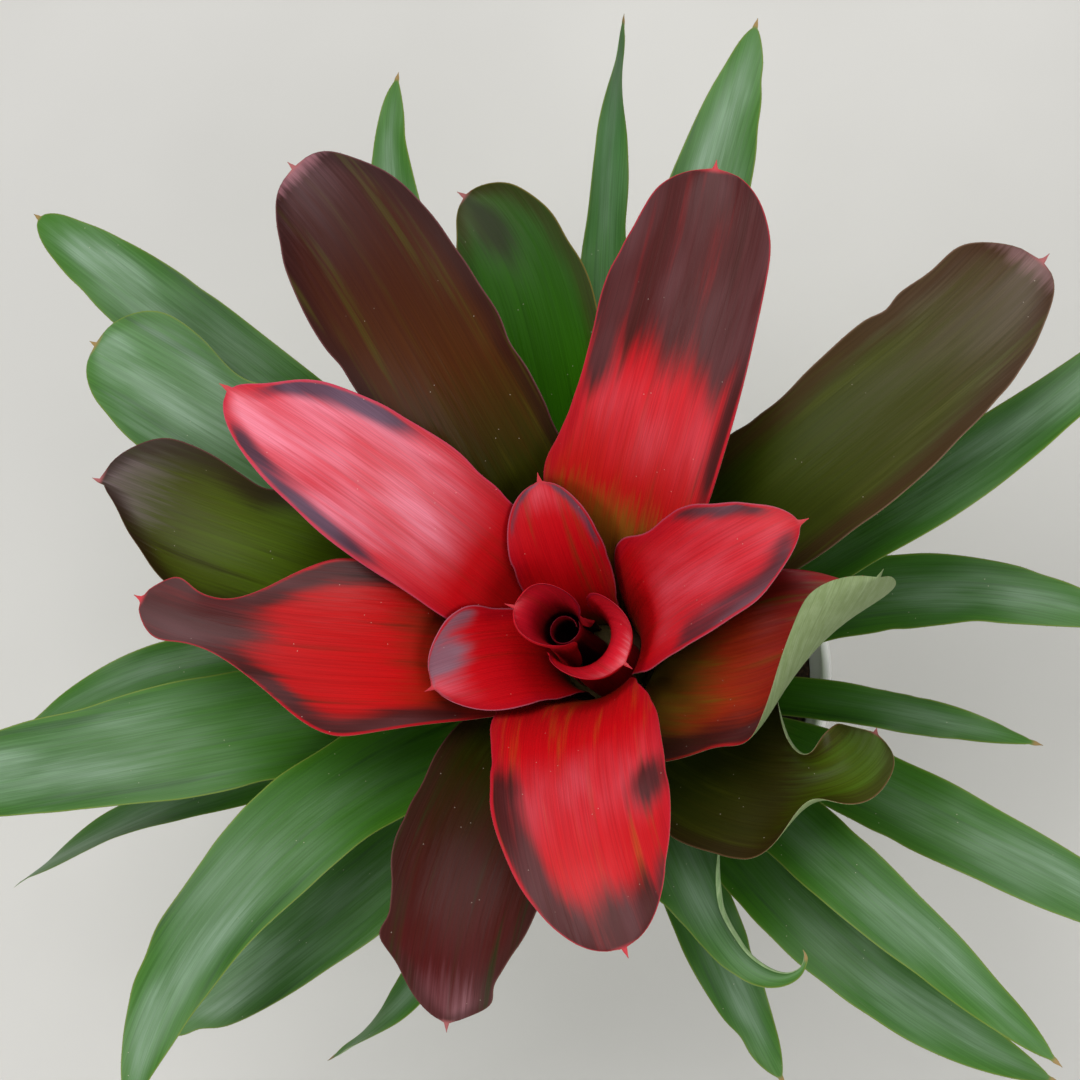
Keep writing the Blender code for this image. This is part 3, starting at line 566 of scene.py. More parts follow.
class LeafPaint(Paint):
    """A leaf's finish from its look, in coats from the bottom up, on the blade's own map in decimetres."""

    def __init__(self, name, look, length):
        super().__init__(name)
        self.look = look
        self.length = length
        self.map = self.add("ShaderNodeUVMap", {}, uv_map="blade")
        onward = self.add("ShaderNodeSeparateXYZ", {0: self.map}, 1)
        self.along = self.times(onward, DM / length)
        self.edge = self.attribute("edge")
        self.dark = self.attribute("dark")
        self.under = self.span(self.attribute("under"), 0.45, 0.55)
        self.streak = self.drawn_out(self.map, STREAK_RATES, 4.0, 0.6)
        self.broad = self.drawn_out(self.map, BROAD_RATES, 3.0, 0.55)
        self.veins = self.drawn_out(self.map, VEIN_RATES, 2.0)
        self.clouds = self.drawn_out(self.map, CLOUD_RATES, 2.0)
        self.scurf = self.drawn_out(self.map, SCURF_RATES, 4.0, 0.7)

    def swayed(self, value, pattern, amount):
        """A value pushed up and down by a pattern, so that a border that it sets turns ragged."""
        return self.plus(value, self.times(self.plus(pattern, -0.5), amount))

    def ground(self):
        """The colours from foot to tip."""
        return self.ramp(self.swayed(self.along, self.streak, 0.22), self.look["along"])

    def add_sides(self, colour):
        """A tint that fades inwards from both margins."""
        tint, width, amount = self.look["side"]
        place = self.swayed(self.edge, self.streak, 0.9 * width)
        return self.mix(self.span(place, 0.25 * width, width, amount, 0.0), colour, tone(tint))

    def add_streaks(self, colour):
        """Fine lengthwise lines that come in broad groups."""
        tint, amount = self.look["streaks"]
        share = self.times(self.span(self.broad, 0.5, 0.68, 0.0, amount), self.span(self.streak, 0.35, 0.6))
        return self.mix(share, colour, tone(tint))

    def add_wax_and_sheen(self, colour):
        """Pale clouds, thinner towards the margins: partly the leaf's wax, partly painted sheen."""
        tint, start, end, amount = self.look["wax_and_sheen"]
        if end < 1:
            fade = self.span(self.along, end, end + 0.15, 1.0, 0.0)
            share = self.times(self.span(self.along, start, start + 0.15), fade)
        else:
            share = self.span(self.swayed(self.along, self.streak, 0.1), start, end)
        share = self.times(share, self.span(self.clouds, 0.36, 0.64, 0.3 * amount, amount))
        share = self.times(share, self.span(self.streak, 0.3, 0.6, 0.6, 1.0))
        share = self.times(share, self.span(self.edge, 1.5, 9.0, 0.25, 1.0))
        # Painted sheen: this pale colour stands partly for light reflected off the glossy blade.
        return self.mix(share, colour, tone(tint))

    def add_pigment(self, colour):
        """The blackish pigment, whose borders are ragged and which clouds of wax and painted sheen turn grey.
        """
        ragged = self.swayed(self.dark, self.streak, 0.5)
        ragged = self.swayed(ragged, self.broad, 1.1)
        ragged = self.swayed(ragged, self.clouds, 0.7)
        share = self.times(self.span(ragged, 0.12, 0.95), self.span(self.dark, 0.02, 0.25))
        # Painted sheen: turning the pigment grey stands partly for light reflected off it.
        wax_and_sheen_share = self.span(self.clouds, 0.42, 0.7, 0.0, 0.7)
        pigment = self.mix(wax_and_sheen_share, tone(self.look["dark"]), tone(self.look["wax_and_sheen_dark"]))
        return self.mix(self.times(share, PIGMENT_COVER), colour, pigment)

    def add_tip(self, colour):
        """The tint of the last bit of the blade."""
        tint, start, amount = self.look["tip_tint"]
        place = self.swayed(self.along, self.streak, 0.05)
        return self.mix(self.span(place, start, start + TIP_FADE, 0.0, amount), colour, tone(tint))

    def add_veins(self, colour):
        """Parallel veins, each a little lighter or darker."""
        lines = self.span(self.veins, 0.25, 0.75, 0.86, 1.1)
        shade = self.add("ShaderNodeCombineColor", {0: lines, 1: lines, 2: lines})
        return self.mix(1.0, colour, shade, "MULTIPLY")

    def add_specks(self, colour):
        """A few pale dots: the middles of some cells of a net."""
        net = {"Vector": self.map, "Scale": SPECK_RATE, "Randomness": 1.0}
        distance = self.add("ShaderNodeTexVoronoi", net, 0)
        pick = self.add("ShaderNodeSeparateColor", {0: self.add("ShaderNodeTexVoronoi", net, 1)}, 0)
        share = self.times(self.span(distance, 0.04, 0.09, 1.0, 0.0), self.span(pick, 0.88, 0.92))
        return self.mix(self.times(share, SPECK_COVER), colour, tone(self.look["speck"]))

    def add_rim(self, colour):
        """The thin line of the margin, and the pointed tip."""
        colour = self.mix(self.span(self.edge, 0.15, 0.65, 0.75, 0.0), colour, tone(self.look["rim"]))
        point = 1 - 1.4 * MUCRO / self.length
        share = self.span(self.along, point, point + 0.6 * MUCRO / self.length)
        return self.mix(share, colour, tone(self.look["mucro"]))

    def underside(self):
        """The paler underside with its fine scales."""
        scales = self.span(self.scurf, 0.35, 0.7, 0.0, 0.4)
        return self.add_veins(self.mix(scales, tone(self.look["under"]), tone(self.look["scurf"])))

    def roughness(self):
        """A satin gloss, duller on the veins, in the clouds of wax and below."""
        rough = self.span(self.veins, 0.2, 0.8, LEAF_ROUGH, LEAF_ROUGH + 0.1)
        rough = self.plus(rough, self.times(self.under, 0.22))
        return self.plus(rough, self.span(self.clouds, 0.3, 0.7, 0.0, 0.08))

    def relief(self):
        """Veins, a broad uneven swell, and scales below."""
        bump = self.bump(self.veins, VEIN_RELIEF, 0.55)
        bump = self.bump(self.drawn_out(self.map, SWELL_RATES, 2.0), SWELL_RELIEF, 0.6, bump)
        return self.bump(self.times(self.scurf, self.under), SCURF_RELIEF, 0.6, bump)

    def laid(self):
        """The material with all its coats."""
        colour = self.ground()
        for coat in (self.add_sides, self.add_streaks, self.add_wax_and_sheen, self.add_pigment, self.add_tip,
                     self.add_veins, self.add_specks, self.add_rim):
            colour = coat(colour)
        colour = self.mix(self.under, colour, self.underside())
        return self.finish(Base_Color=colour, Roughness=self.roughness(), Normal=self.relief(),
                           Specular_IOR_Level=self.look["shine"], Coat_Weight=0.04, Coat_Roughness=0.25)


def soil_paint():
    """Peat and bark: dark brown grains, a few of them pale, with darker clumps."""
    paint = Paint("peat_and_bark")
    place = paint.position()
    grains = paint.noise(place, 420.0, 5.0, 0.7)
    clumps = paint.noise(place, 70.0)
    browns = [(0.3, (24, 15, 10)), (0.5, (52, 34, 22)), (0.62, (84, 58, 38)), (0.8, (128, 98, 70))]
    colour = paint.ramp(grains, browns)
    colour = paint.mix(paint.span(clumps, 0.4, 0.65, 0.0, 0.6), colour, tone((34, 22, 16)))
    return paint.finish(Base_Color=colour, Roughness=0.92, Normal=paint.bump(grains, 0.8 * MM, 0.9))


def bark_paint(name):
    """Bark: each piece is redder or greyer by its own tint, with a fine grain."""
    paint = Paint(name)
    grain = paint.drawn_out(paint.position(), (500, 900, 500), 4.0, 0.65)
    browns = [(0.0, (38, 24, 17)), (0.5, (82, 50, 32)), (0.85, (116, 78, 52)), (1.0, (150, 122, 92))]
    colour = paint.ramp(paint.attribute("tint"), browns)
    colour = paint.mix(paint.span(grain, 0.35, 0.65, 0.6, 0.0), colour, tone((28, 18, 13)))
    return paint.finish(Base_Color=colour, Roughness=0.85, Normal=paint.bump(grain, 0.4 * MM, 0.8))


def stem_paint():
    """The short root stock: pale olive with brown scars of old leaves in rings."""
    paint = Paint("root_stock")
    place = paint.position()
    scars = paint.drawn_out(place, (60, 60, 420), 4.0, 0.6)
    blotch = paint.noise(place, 110.0, 4.0)
    colour = paint.ramp(scars, [(0.3, (58, 36, 22)), (0.5, (92, 76, 40)), (0.75, (122, 110, 62))])
    colour = paint.mix(paint.span(blotch, 0.5, 0.7, 0.0, 0.6), colour, tone((96, 62, 36)))
    return paint.finish(Base_Color=colour, Roughness=0.7, Normal=paint.bump(scars, 0.5 * MM, 0.7))


def plastic_paint():
    """White moulded plastic with faint flow marks, fine scratches and a little dust, most of it low down."""
    paint = Paint("white_pot_plastic")
    place = paint.position()
    flow = paint.drawn_out(place, (10, 10, 60))
    scratch = paint.drawn_out(place, (900, 900, 60), 3.0, 0.6)
    dust = paint.noise(place, 90.0, 5.0, 0.65)
    height = paint.add("ShaderNodeSeparateXYZ", {0: place}, 2)
    colour = paint.mix(paint.span(flow, 0.35, 0.65), tone((234, 234, 230)), tone((240, 240, 238)))
    share = paint.times(paint.span(dust, 0.52, 0.72), paint.span(height, 0.0, DUST_HEIGHT, 0.3, 0.05))
    colour = paint.mix(share, colour, tone((150, 134, 112)))
    bump = paint.bump(flow, 0.4 * MM, 0.25, paint.bump(scratch, 0.05 * MM, 0.5))
    return paint.finish(Base_Color=colour, Roughness=paint.span(scratch, 0.3, 0.7, 0.3, 0.46), Normal=bump,
                        Coat_Weight=0.05)


def floor_paint():
    """Plain pale floor, very faintly clouded."""
    paint = Paint("pale_floor")
    cloud = paint.noise(paint.position(), 3.0, 4.0)
    colour = paint.mix(paint.span(cloud, 0.35, 0.65), tone((203, 201, 196)), tone((210, 208, 203)))
    return paint.finish(Base_Color=colour, Roughness=0.8)


# Meshes

def in_scene(name, data):
    """A new object of the scene with the mesh, light or camera given."""
    thing = bpy.data.objects.new(name, data)
    bpy.context.scene.collection.objects.link(thing)
    return thing


def make_piece(name, points, faces, paint, nodes, smoothed=True):
    """A finished piece from points and a list of faces, riding on the root body in the place of the nodes."""
    mesh = bpy.data.meshes.new(name)
    mesh.from_pydata(points.tolist(), [], faces)
    mesh.validate()
    mesh.materials.append(paint)
    if smoothed:
        mesh.shade_smooth()
    piece = in_scene(name, mesh)
    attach(piece, "root")
    if nodes:
        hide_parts(*nodes)
    return piece


def put_attribute(piece, name, values):
    """Gives every point of the piece a value that its paint reads by name."""
    layer = piece.data.attributes.new(name, "FLOAT", "POINT")
    layer.data.foreach_set("value", np.asarray(values, np.float32))


def put_map(piece, across, along):
    """The piece's own map, in decimetres across and along the blade."""
    corners = np.empty(len(piece.data.loops), int)
    piece.data.loops.foreach_get("vertex_index", corners)
    layer = piece.data.uv_layers.new(name="blade")
    flat = np.stack([across[corners], along[corners]], 1) / DM
    layer.uv.foreach_set("vector", flat.astype(np.float32).ravel())


def guide_paint(piece, edge, dark, across, onward, under=1.0):
    """Gives every point of a blade what its paint reads, from grids that hold for both of its sheets.

    "edge" is the distance to the margin in mm, "dark" the share of pigment, and "under" the share of the
    underside's paint on the lower sheet. The teeth, whose points come last, are on the margin, halfway along.
    """
    spare = len(piece.data.vertices) - 2 * edge.size

    def both(upper, lower, rest=0.0):
        return np.concatenate([upper.ravel(), lower.ravel(), np.full(spare, rest)])

    put_attribute(piece, "edge", both(edge, edge))
    put_attribute(piece, "dark", both(dark, dark))
    put_attribute(piece, "under", both(0 * edge, 0 * edge + under))
    onward = np.broadcast_to(onward, edge.shape)
    put_map(piece, both(across, across), both(onward, onward, 0.5 * onward.max()))


def quads(*corners):
    """One quad for each place in the grids of its four corners' numbers."""
    return np.stack(corners, -1).reshape(-1, 4)


def rings(rows, count):
    """Numbers of points that lie in rings, and of each one's neighbour further round."""
    index = np.arange(rows * count).reshape(rows, count)
    return index, np.roll(index, -1, axis=1)


def repeated(faces, copies, step, start=0):
    """The faces of one shape, again for every copy of it, where each copy has its own run of points."""
    shifts = start + step * np.arange(copies)[:, None, None]
    return (np.array(faces) + shifts).reshape(-1, len(faces[0])).tolist()


def outward(points, faces):
    """The same quads, all turned over if the closed surface that they make faces inwards."""
    corners = points[faces]
    volume = np.einsum("ij,ij->i", corners[:, 0], np.cross(corners[:, 1], corners[:, 2])).sum()
    volume += np.einsum("ij,ij->i", corners[:, 0], np.cross(corners[:, 2], corners[:, 3])).sum()
    return faces if volume > 0 else faces[:, ::-1]


def shell_faces(points, rows, columns):
    """Quads of a closed blade, whose upper sheet comes before its lower sheet in the list of points."""
    upper, lower = np.arange(2 * rows * columns).reshape(2, rows, columns)

    def strip(first, second):
        return quads(first[:-1], first[1:], second[1:], second[:-1])

    top = quads(upper[:-1, :-1], upper[:-1, 1:], upper[1:, 1:], upper[1:, :-1])
    bottom = quads(lower[:-1, :-1], lower[1:, :-1], lower[1:, 1:], lower[:-1, 1:])
    ends = [strip(lower[0], upper[0]), strip(upper[-1], lower[-1])]
    margins = [strip(upper[:, 0], lower[:, 0]), strip(lower[:, -1], upper[:, -1])]
    return outward(points, np.vstack([top, bottom, *ends, *margins])).tolist()


def in_place(points):
    """Points of the leaning rosette as points of the whole object."""
    upward = Vector((math.sin(LEAN_EAST), math.sin(LEAN_NORTH), 0))
    upward.z = math.sqrt(1 - upward.x**2 - upward.y**2)
    eastward = Vector((1, 0, 0)) - upward * upward.x
    eastward.normalize()
    turn = np.array(Matrix((eastward, upward.cross(eastward), upward)).transposed())
    return points @ turn.T + ROSETTE_PLACE


# Leaf shape, as in the solids

def ring_radius(ring):
    """How far from the axis a ring of leaves stands: every ring is one step further out."""
    return FIRST_RING_RADIUS + RING_STEP * ring


def ring_height(ring):
    """How high the feet of a ring stand: every ring is one drop lower."""
    return FIRST_RING_HEIGHT - RING_DROP * ring


def read_leaf(row):
    """A leaf's values by name, with the defaults of a plain leaf under those of its kind and its own."""
    name, ring, compass, length, width, slopes, kind, own = row
    leaf = dict(channel=25, tip_channel=0, sweep=0, late=2, hook=0, twist=0, twist_from=0.3, roll_left=0,
                roll_right=0, roll_from=0.45, roll_to=0.85, pinch=(0.5, 0, 1), slim=(0, 1, 0), wave=(0, 1, 0),
                lobes=())
    leaf.update(kind)
    leaf.update(own)
    leaf.update(name=name, ring=ring, compass=compass, length=length * MM, width=width * MM, slopes=slopes)
    return leaf


def clasp_share(leaf, leaves):
    """The foot's width over the blade's: a foot takes its half of the gap to the nearest foot on its ring."""
    turns = [
        abs((leaf["compass"] - other["compass"] + 180) % 360 - 180)
        for other in leaves
        if other is not leaf and other["ring"] == leaf["ring"]
    ]
    half_turn = min(turns) / 2 if turns else LONE_CLASP
    room = math.radians(min(half_turn, MOST_CLASP)) * ring_radius(leaf["ring"]) - CLASP_GAP
    return min(WIDEST_FOOT, room / (0.5 * leaf["width"]))


def point_half(leaf, s):
    """Half the width of the pointed tip, which narrows from its root to its end."""
    return MUCRO_ROOT - (MUCRO_ROOT - MUCRO_END) * smooth(1 - MUCRO / leaf["length"], 1, s)


def half_width(leaf, s):
    """From the clasping foot the blade widens to its full width, keeps it, and rounds off to its point."""
    s_blade = s * leaf["length"] / (leaf["length"] - MUCRO)
    share = leaf["clasp"] + (1 - leaf["clasp"]) * smooth(0.04, leaf["grown"], s_blade)
    beyond = np.clip((s_blade - leaf["widest"]) / (1 - leaf["widest"]), 0, 1)
    rounding = np.clip(1 - beyond ** (1.25 + 1.5 * leaf["tip"]), 0, 1) ** (1 - 0.7 * leaf["tip"])
    slim_from, slim_to, slim_share = leaf["slim"]
    rounding = rounding * (1 - slim_share * smooth(slim_from, slim_to, s_blade))
    return np.maximum(0.5 * leaf["width"] * share * rounding, point_half(leaf, s))


def side_widths(leaf, s, v):
    """The half width again for every point, with each margin's own bulges and hollows added to its side.

    Each lobe is (side, place along the leaf, spread, height in mm), a bell curve that fades before the point.
    """
    half = np.repeat(half_width(leaf, s)[:, None], len(v), 1)
    point = MUCRO / leaf["length"]
    kept = 1 - smooth(1 - 1.3 * point, 1 - 0.7 * point, s)
    for side, place, spread, height in leaf["lobes"]:
        bell = kept * height * MM * np.exp(-(((s - place) / spread) ** 2))
        half = half + (v * side > 0) * bell[:, None]
    return np.maximum(half, point_half(leaf, s)[:, None])


def midrib(leaf, s):
    """Points of the midrib and its directions along, to the left and up, at each s.

    The slope runs from foot to tip on a parabola, the heading turns by the sweep, and the points are the sum
    of small steps along both. A twist turns the blade about its midrib.
    """
    fine = np.linspace(0, 1, FINE + 1)
    foot, middle, tip = leaf["slopes"]
    slope = foot * (1 - fine) ** 2 + 2 * middle * fine * (1 - fine) + tip * fine**2
    slope = np.radians(slope + leaf["hook"] * smooth(0.78, 1, fine))
    heading = np.radians(leaf["compass"] + leaf["sweep"] * fine ** leaf["late"])
    along = np.stack([np.cos(slope) * np.cos(heading), np.cos(slope) * np.sin(heading), np.sin(slope)], 1)
    steps = 0.5 * (along[1:] + along[:-1]) * leaf["length"] / FINE
    start = ring_radius(leaf["ring"]) * np.array([np.cos(heading[0]), np.sin(heading[0]), 0])
    start[2] = ring_height(leaf["ring"])
    points = np.vstack([start, start + np.cumsum(steps, axis=0)])
    left = np.stack([-np.sin(heading), np.cos(heading), 0 * heading], 1)
    up = np.cross(along, left)
    turn = np.radians(leaf["twist"]) * smooth(leaf["twist_from"], 1, fine)[:, None]
    turned_left = left * np.cos(turn) + up * np.sin(turn)
    turned_up = up * np.cos(turn) - left * np.sin(turn)
    return [read_at(s, fine, rows) for rows in (points, along, turned_left, turned_up)]


def running_sum(rates):
    """Distance covered from the middle of each row, where rates gives the speed at each of its points."""
    steps = 0.5 * (rates[:, 1:] + rates[:, :-1]) * 2 / ACROSS
    total = np.concatenate([0 * rates[:, :1], np.cumsum(steps, axis=1)], axis=1)
    return total - total[:, ACROSS // 2 : ACROSS // 2 + 1]


def leaf_points(leaf, s, v):
    """The blade's middle surface, for s from foot to tip and v from the right margin (-1) to the left (1).

    Near the foot the cross-section is an arc round the plant's axis. Further out it is a shallow channel,
    whose margins may roll in further, and where a pinch folds it up. The margins rise and fall in a wave.
    """
    centre, along, left, up = midrib(leaf, s)
    half = half_width(leaf, s)
    clasp = half * np.maximum(along[:, 2], 0) / np.hypot(centre[:, 0], centre[:, 1])
    open_share = smooth(0.15, 0.6, s)
    channel = np.minimum(clasp, MOST_CURL) * (1 - open_share) + np.radians(leaf["channel"]) * open_share
    channel = channel + np.radians(leaf["tip_channel"]) * smooth(0.7, 1, s)
    pinch_at, pinch_amount, pinch_spread = leaf["pinch"]
    channel = channel + np.radians(pinch_amount) * np.exp(-(((s - pinch_at) / pinch_spread) ** 2))
    rolling = smooth(leaf["roll_from"], leaf["roll_to"], s)
    fine = np.linspace(-1, 1, ACROSS + 1)
    tilt = channel[:, None] * fine
    tilt = tilt + np.radians(leaf["roll_left"]) * rolling[:, None] * np.maximum(fine, 0) ** 2
    tilt = tilt - np.radians(leaf["roll_right"]) * rolling[:, None] * np.maximum(-fine, 0) ** 2
    sideways = running_sum(np.cos(tilt))
    raised = running_sum(np.sin(tilt))
    widths = side_widths(leaf, s, v)
    x = np.stack([np.interp(v, fine, row) for row in sideways]) * widths
    y = np.stack([np.interp(v, fine, row) for row in raised]) * widths
    wave_height, wave_count, wave_start = leaf["wave"]
    swell = wave_height * MM * smooth(0.3, 0.6, s) * (1 - smooth(0.9, 1.0, s))
    phase = 2 * np.pi * (wave_count * s[:, None] + wave_start) + WAVE_LAG * (v > 0)
    y = y + swell[:, None] * np.abs(v) ** 1.7 * np.sin(phase)
    return centre[:, None] + left[:, None] * x[..., None] + up[:, None] * y[..., None]


# Leaves

def sheet_normals(points):
    """Unit normals of a grid of points, from the differences of its neighbours."""
    return unit(np.cross(np.gradient(points, axis=0), np.gradient(points, axis=1)))


def half_thickness(edge, thinning, power):
    """Half the blade's thickness, which falls off over the last millimetres before the margin."""
    return 0.5 * BLADE * (EDGE_BLADE + (1 - EDGE_BLADE) * np.minimum(1, edge / thinning) ** power)


def two_sheets(middle, normals, half):
    """The upper and the lower sheet, half a thickness off the middle surface, placed in the whole object."""
    offset = normals * half[..., None]
    return in_place(np.stack([middle + offset, middle - offset]).reshape(-1, 3))


def dark_share(look, s, v, edge):
    """How dark the pigment is: bands just inside the margins, the tip, and single blotches."""
    share = smooth(*look["tip_dark"], s) + 0 * v
    inside = smooth(0.4, 1.6, edge)
    for side, start, end, width in look["bands"]:
        near = 1 - smooth(0.2 * width, 1.25 * width, edge)
        reach = smooth(start, start + 0.14, s) * (1 - smooth(end - 0.08, end, s))
        on_side = smooth(-0.15, 0.15, side * v) if side else 1
        share = np.maximum(share, near * reach * on_side * inside)
    for spot_s, spot_v, size_s, size_v in look["spots"]:
        share = np.maximum(share, np.exp(-(((s - spot_s) / size_s) ** 2) - ((v - spot_v) / size_v) ** 2))
    return share


def dents(leaf, depth, rng):
    """Small shallow hollows along both margins, as lobes, so that no margin is drawn with a ruler."""
    half = 0.5 * leaf["width"] / MM
    places = rng.uniform(0.3, 0.94, DENTS)
    spreads = rng.uniform(0.02, 0.05, DENTS)
    depths = -half * rng.uniform(0.2, 1.0, DENTS) * depth
    sides = rng.choice([-1, 1], DENTS)
    return tuple(zip(sides.tolist(), places.tolist(), spreads.tolist(), depths.tolist()))


def lively(leaf, look, rng):
    """The leaf with a margin that ripples, unless its row gives it a wave, and with dents."""
    height, count = look["ripple"]
    ripple = (height, count * rng.uniform(0.8, 1.25), rng.uniform(0, 1))
    wave = leaf["wave"] if leaf["wave"][0] else ripple
    return dict(leaf, wave=wave, lobes=leaf["lobes"] + dents(leaf, look["dents"], rng))


def margin_teeth(margin, out, on, up, rng):
    """Teeth on a margin: four points for each, at steps that are a little uneven.

    Each is a small pyramid with a root of three points sunk in the margin and one tip that points outwards
    and on towards the leaf's tip.
    """
    steps = np.linalg.norm(np.diff(margin, axis=0), axis=1)
    walked = np.concatenate([[0], np.cumsum(steps)])
    count = int(walked[-1] / TOOTH_STEP)
    places = (np.arange(count) + 0.5 + rng.uniform(-0.3, 0.3, count)) * TOOTH_STEP
    root, out, on, up = [read_at(places, walked, rows) for rows in (margin, out, on, up)]
    size = rng.uniform(*TOOTH_SIZES, (count, 1))
    root = root - out * TOOTH_SINK
    ahead = root + on * TOOTH_ROOT * size
    tip = root + out * (TOOTH_LENGTH * size + TOOTH_SINK) + on * TOOTH_HOOK * TOOTH_LENGTH * size
    corners = [root - on * TOOTH_ROOT * size, ahead + up * TOOTH_THICK, ahead - up * TOOTH_THICK, tip]
    return np.stack(corners, 1).reshape(-1, 3)


def blade_teeth(middle, normals, rng):
    """Teeth along both margins of a blade, from above the foot to below the pointed tip."""
    along = unit(np.gradient(middle, axis=0))
    rows = slice(int(0.3 * BLADE_ROWS), int(0.97 * BLADE_ROWS))
    sides = []
    for column, inner in ((0, 1), (-1, -2)):
        margin = middle[rows, column]
        out = unit(margin - middle[rows, inner])
        sides.append(margin_teeth(margin, out, along[rows, column], normals[rows, column], rng))
    return in_place(np.vstack(sides))


def make_leaf(leaf, rng):
    """A closed blade with teeth: two sheets that stand off the middle surface, thinnest at margins and tip.

    Rows lie closer towards the tip, and columns closer towards the margins.
    """
    look = LOOKS.get(leaf["name"], GREEN_LOOK)
    leaf = lively(leaf, look, rng)
    s = 1 - (1 - np.linspace(0, 1, BLADE_ROWS)) ** 1.25
    v = np.sin(np.linspace(-0.5, 0.5, BLADE_COLUMNS) * np.pi * 0.96) / np.sin(0.48 * np.pi)
    middle = leaf_points(leaf, s, v)
    normals = sheet_normals(middle)
    widths = side_widths(leaf, s, v)
    edge = widths * (1 - np.abs(v)) / MM
    half = half_thickness(edge, 5, 0.6) * (1 - 0.6 * smooth(0.9, 1, s)[:, None])
    sheets = two_sheets(middle, normals, half)
    teeth = blade_teeth(middle, normals, rng)
    faces = shell_faces(sheets, BLADE_ROWS, BLADE_COLUMNS)
    faces += repeated(TOOTH_FACES, len(teeth) // 4, 4, len(sheets))
    paint = LeafPaint(leaf["name"] + "_finish", look, leaf["length"]).laid()
    points = np.vstack([sheets, teeth])
    piece = make_piece(leaf["name"] + "_blade", points, faces, paint, [leaf["name"]])
    dark = dark_share(look, s[:, None], v[None, :], edge)
    guide_paint(piece, edge, dark, widths * v, s[:, None] * leaf["length"])


def make_tube():
    """The youngest leaf, rolled so that one edge lies over the other.

    The roll goes a little further than a full circle, while its radius grows evenly. Its rows rise to a mouth
    that is notched at both edges and slants, and its middle leaves the axis on an S-shaped curve.
    """
    s = np.linspace(0, 1, TUBE_ROWS)[:, None]
    turn = np.linspace(-1, 1, TUBE_COLUMNS)[None, :]
    angle = np.radians(TUBE_BACK + TUBE_TURN * turn)
    radius = TUBE_RADIUS + TUBE_OVERLAP * (turn + 1) / 2
    lean = TUBE_LEAN * smooth(0.2, 0.8, s)
    slant = MOUTH_SLANT * np.cos(angle - np.radians(MOUTH_LOW_SIDE))
    mouth = 1 - MOUTH_NOTCH * smooth(0.5, 1, np.abs(turn)) - slant
    height = TUBE_FOOT + TUBE_LENGTH * s * mouth
    east = radius * np.cos(angle) + lean * np.cos(TUBE_LEAN_COMPASS)
    north = radius * np.sin(angle) + lean * np.sin(TUBE_LEAN_COMPASS)
    middle = np.stack([east, north, height], -1)
    edge = np.minimum((1 - s) * TUBE_LENGTH, (1 - np.abs(turn)) * np.pi * TUBE_RADIUS) / MM
    sheets = two_sheets(middle, -sheet_normals(middle), half_thickness(edge, 3, 1))
    faces = shell_faces(sheets, TUBE_ROWS, TUBE_COLUMNS)
    paint = LeafPaint("heart_tube_finish", LOOKS["heart_tube"], TUBE_LENGTH + TUBE_POINT).laid()
    piece = make_piece("heart_tube_roll", sheets, faces, paint, ["heart_tube"])
    across = np.broadcast_to(turn * np.pi * TUBE_RADIUS, edge.shape)
    guide_paint(piece, edge, 0 * edge, across, s * TUBE_LENGTH, under=0.0)


# Pot and potting mix

def pot_inner_radius(height):
    """Radius of the pot's inner wall below the rim band."""
    share = height / (POT_HEIGHT - RIM_BAND)
    return POT_BASE_RADIUS + (POT_TOP_RADIUS - POT_BASE_RADIUS) * share - POT_WALL


def arc(centre, radius, start, end, count):
    """Points of an arc between two angles in degrees."""
    angles = np.radians(np.linspace(start, end, count))
    return [(centre[0] + radius * np.cos(a), centre[1] + radius * np.sin(a)) for a in angles]


def turned(profile, steps):
    """Points and faces of a profile of (radius, height) turned round Z, with both its ends on the axis."""
    profile = np.array(profile, float)
    angle = 2 * np.pi * np.arange(steps) / steps
    body = profile[1:-1]
    ring = np.stack([np.cos(angle), np.sin(angle), 0 * angle], 1)
    points = (body[:, None, :1] * ring[None] + body[:, None, 1:] * UP).reshape(-1, 3)
    ends = profile[[0, -1], 1:] * UP
    index, onward = rings(len(body), steps)
    first, last = np.full((2, steps), len(points)) + [[0], [1]]
    caps = np.vstack([np.stack([first, onward[0], index[0]], 1), np.stack([last, index[-1], onward[-1]], 1)])
    faces = quads(index[:-1], onward[:-1], onward[1:], index[1:]).tolist() + caps.tolist()
    return np.vstack([points, ends]), faces


def pot_profile():
    """Radius and height from the middle of the floor up the inside, over the rim and back underneath."""
    band_bottom = POT_HEIGHT - RIM_BAND
    lip = (RIM_RADIUS - RIM_INNER_RADIUS) / 2
    floor_edge = pot_inner_radius(POT_FLOOR + POT_CORNER) - POT_CORNER
    ledge = band_bottom - RIM_LEDGE
    profile = [(0, POT_FLOOR), (floor_edge, POT_FLOOR)]
    profile += arc((floor_edge, POT_FLOOR + POT_CORNER), POT_CORNER, -85, 0, 7)
    profile += [(pot_inner_radius(ledge), ledge)]
    profile += [(RIM_INNER_RADIUS - BAND_EASE, band_bottom + LEDGE_RISE)]
    profile += [(RIM_INNER_RADIUS, band_bottom + LEDGE_RISE + MM)]
    profile += arc((RIM_RADIUS - lip, POT_HEIGHT - lip), lip, 180, 0, 13)
    profile += arc((RIM_RADIUS - BAND_ROUND, band_bottom + BAND_ROUND), BAND_ROUND, 0, -90, 5)
    profile += [(POT_TOP_RADIUS + 0.3 * MM, band_bottom), (POT_TOP_RADIUS, band_bottom - BAND_EASE)]
    for height in np.linspace(band_bottom - 2 * MM, 4 * MM, WALL_ROWS):
        profile.append((pot_inner_radius(height) + POT_WALL, height))
    profile += arc((POT_BASE_RADIUS - FOOT_ROUND, FOOT_ROUND), FOOT_ROUND, 0, -90, 6)
    foot = POT_BASE_RADIUS - FOOT_RING
    return profile + [(foot, 0), (foot - MM, BASE_HOLLOW), (0, BASE_HOLLOW)]


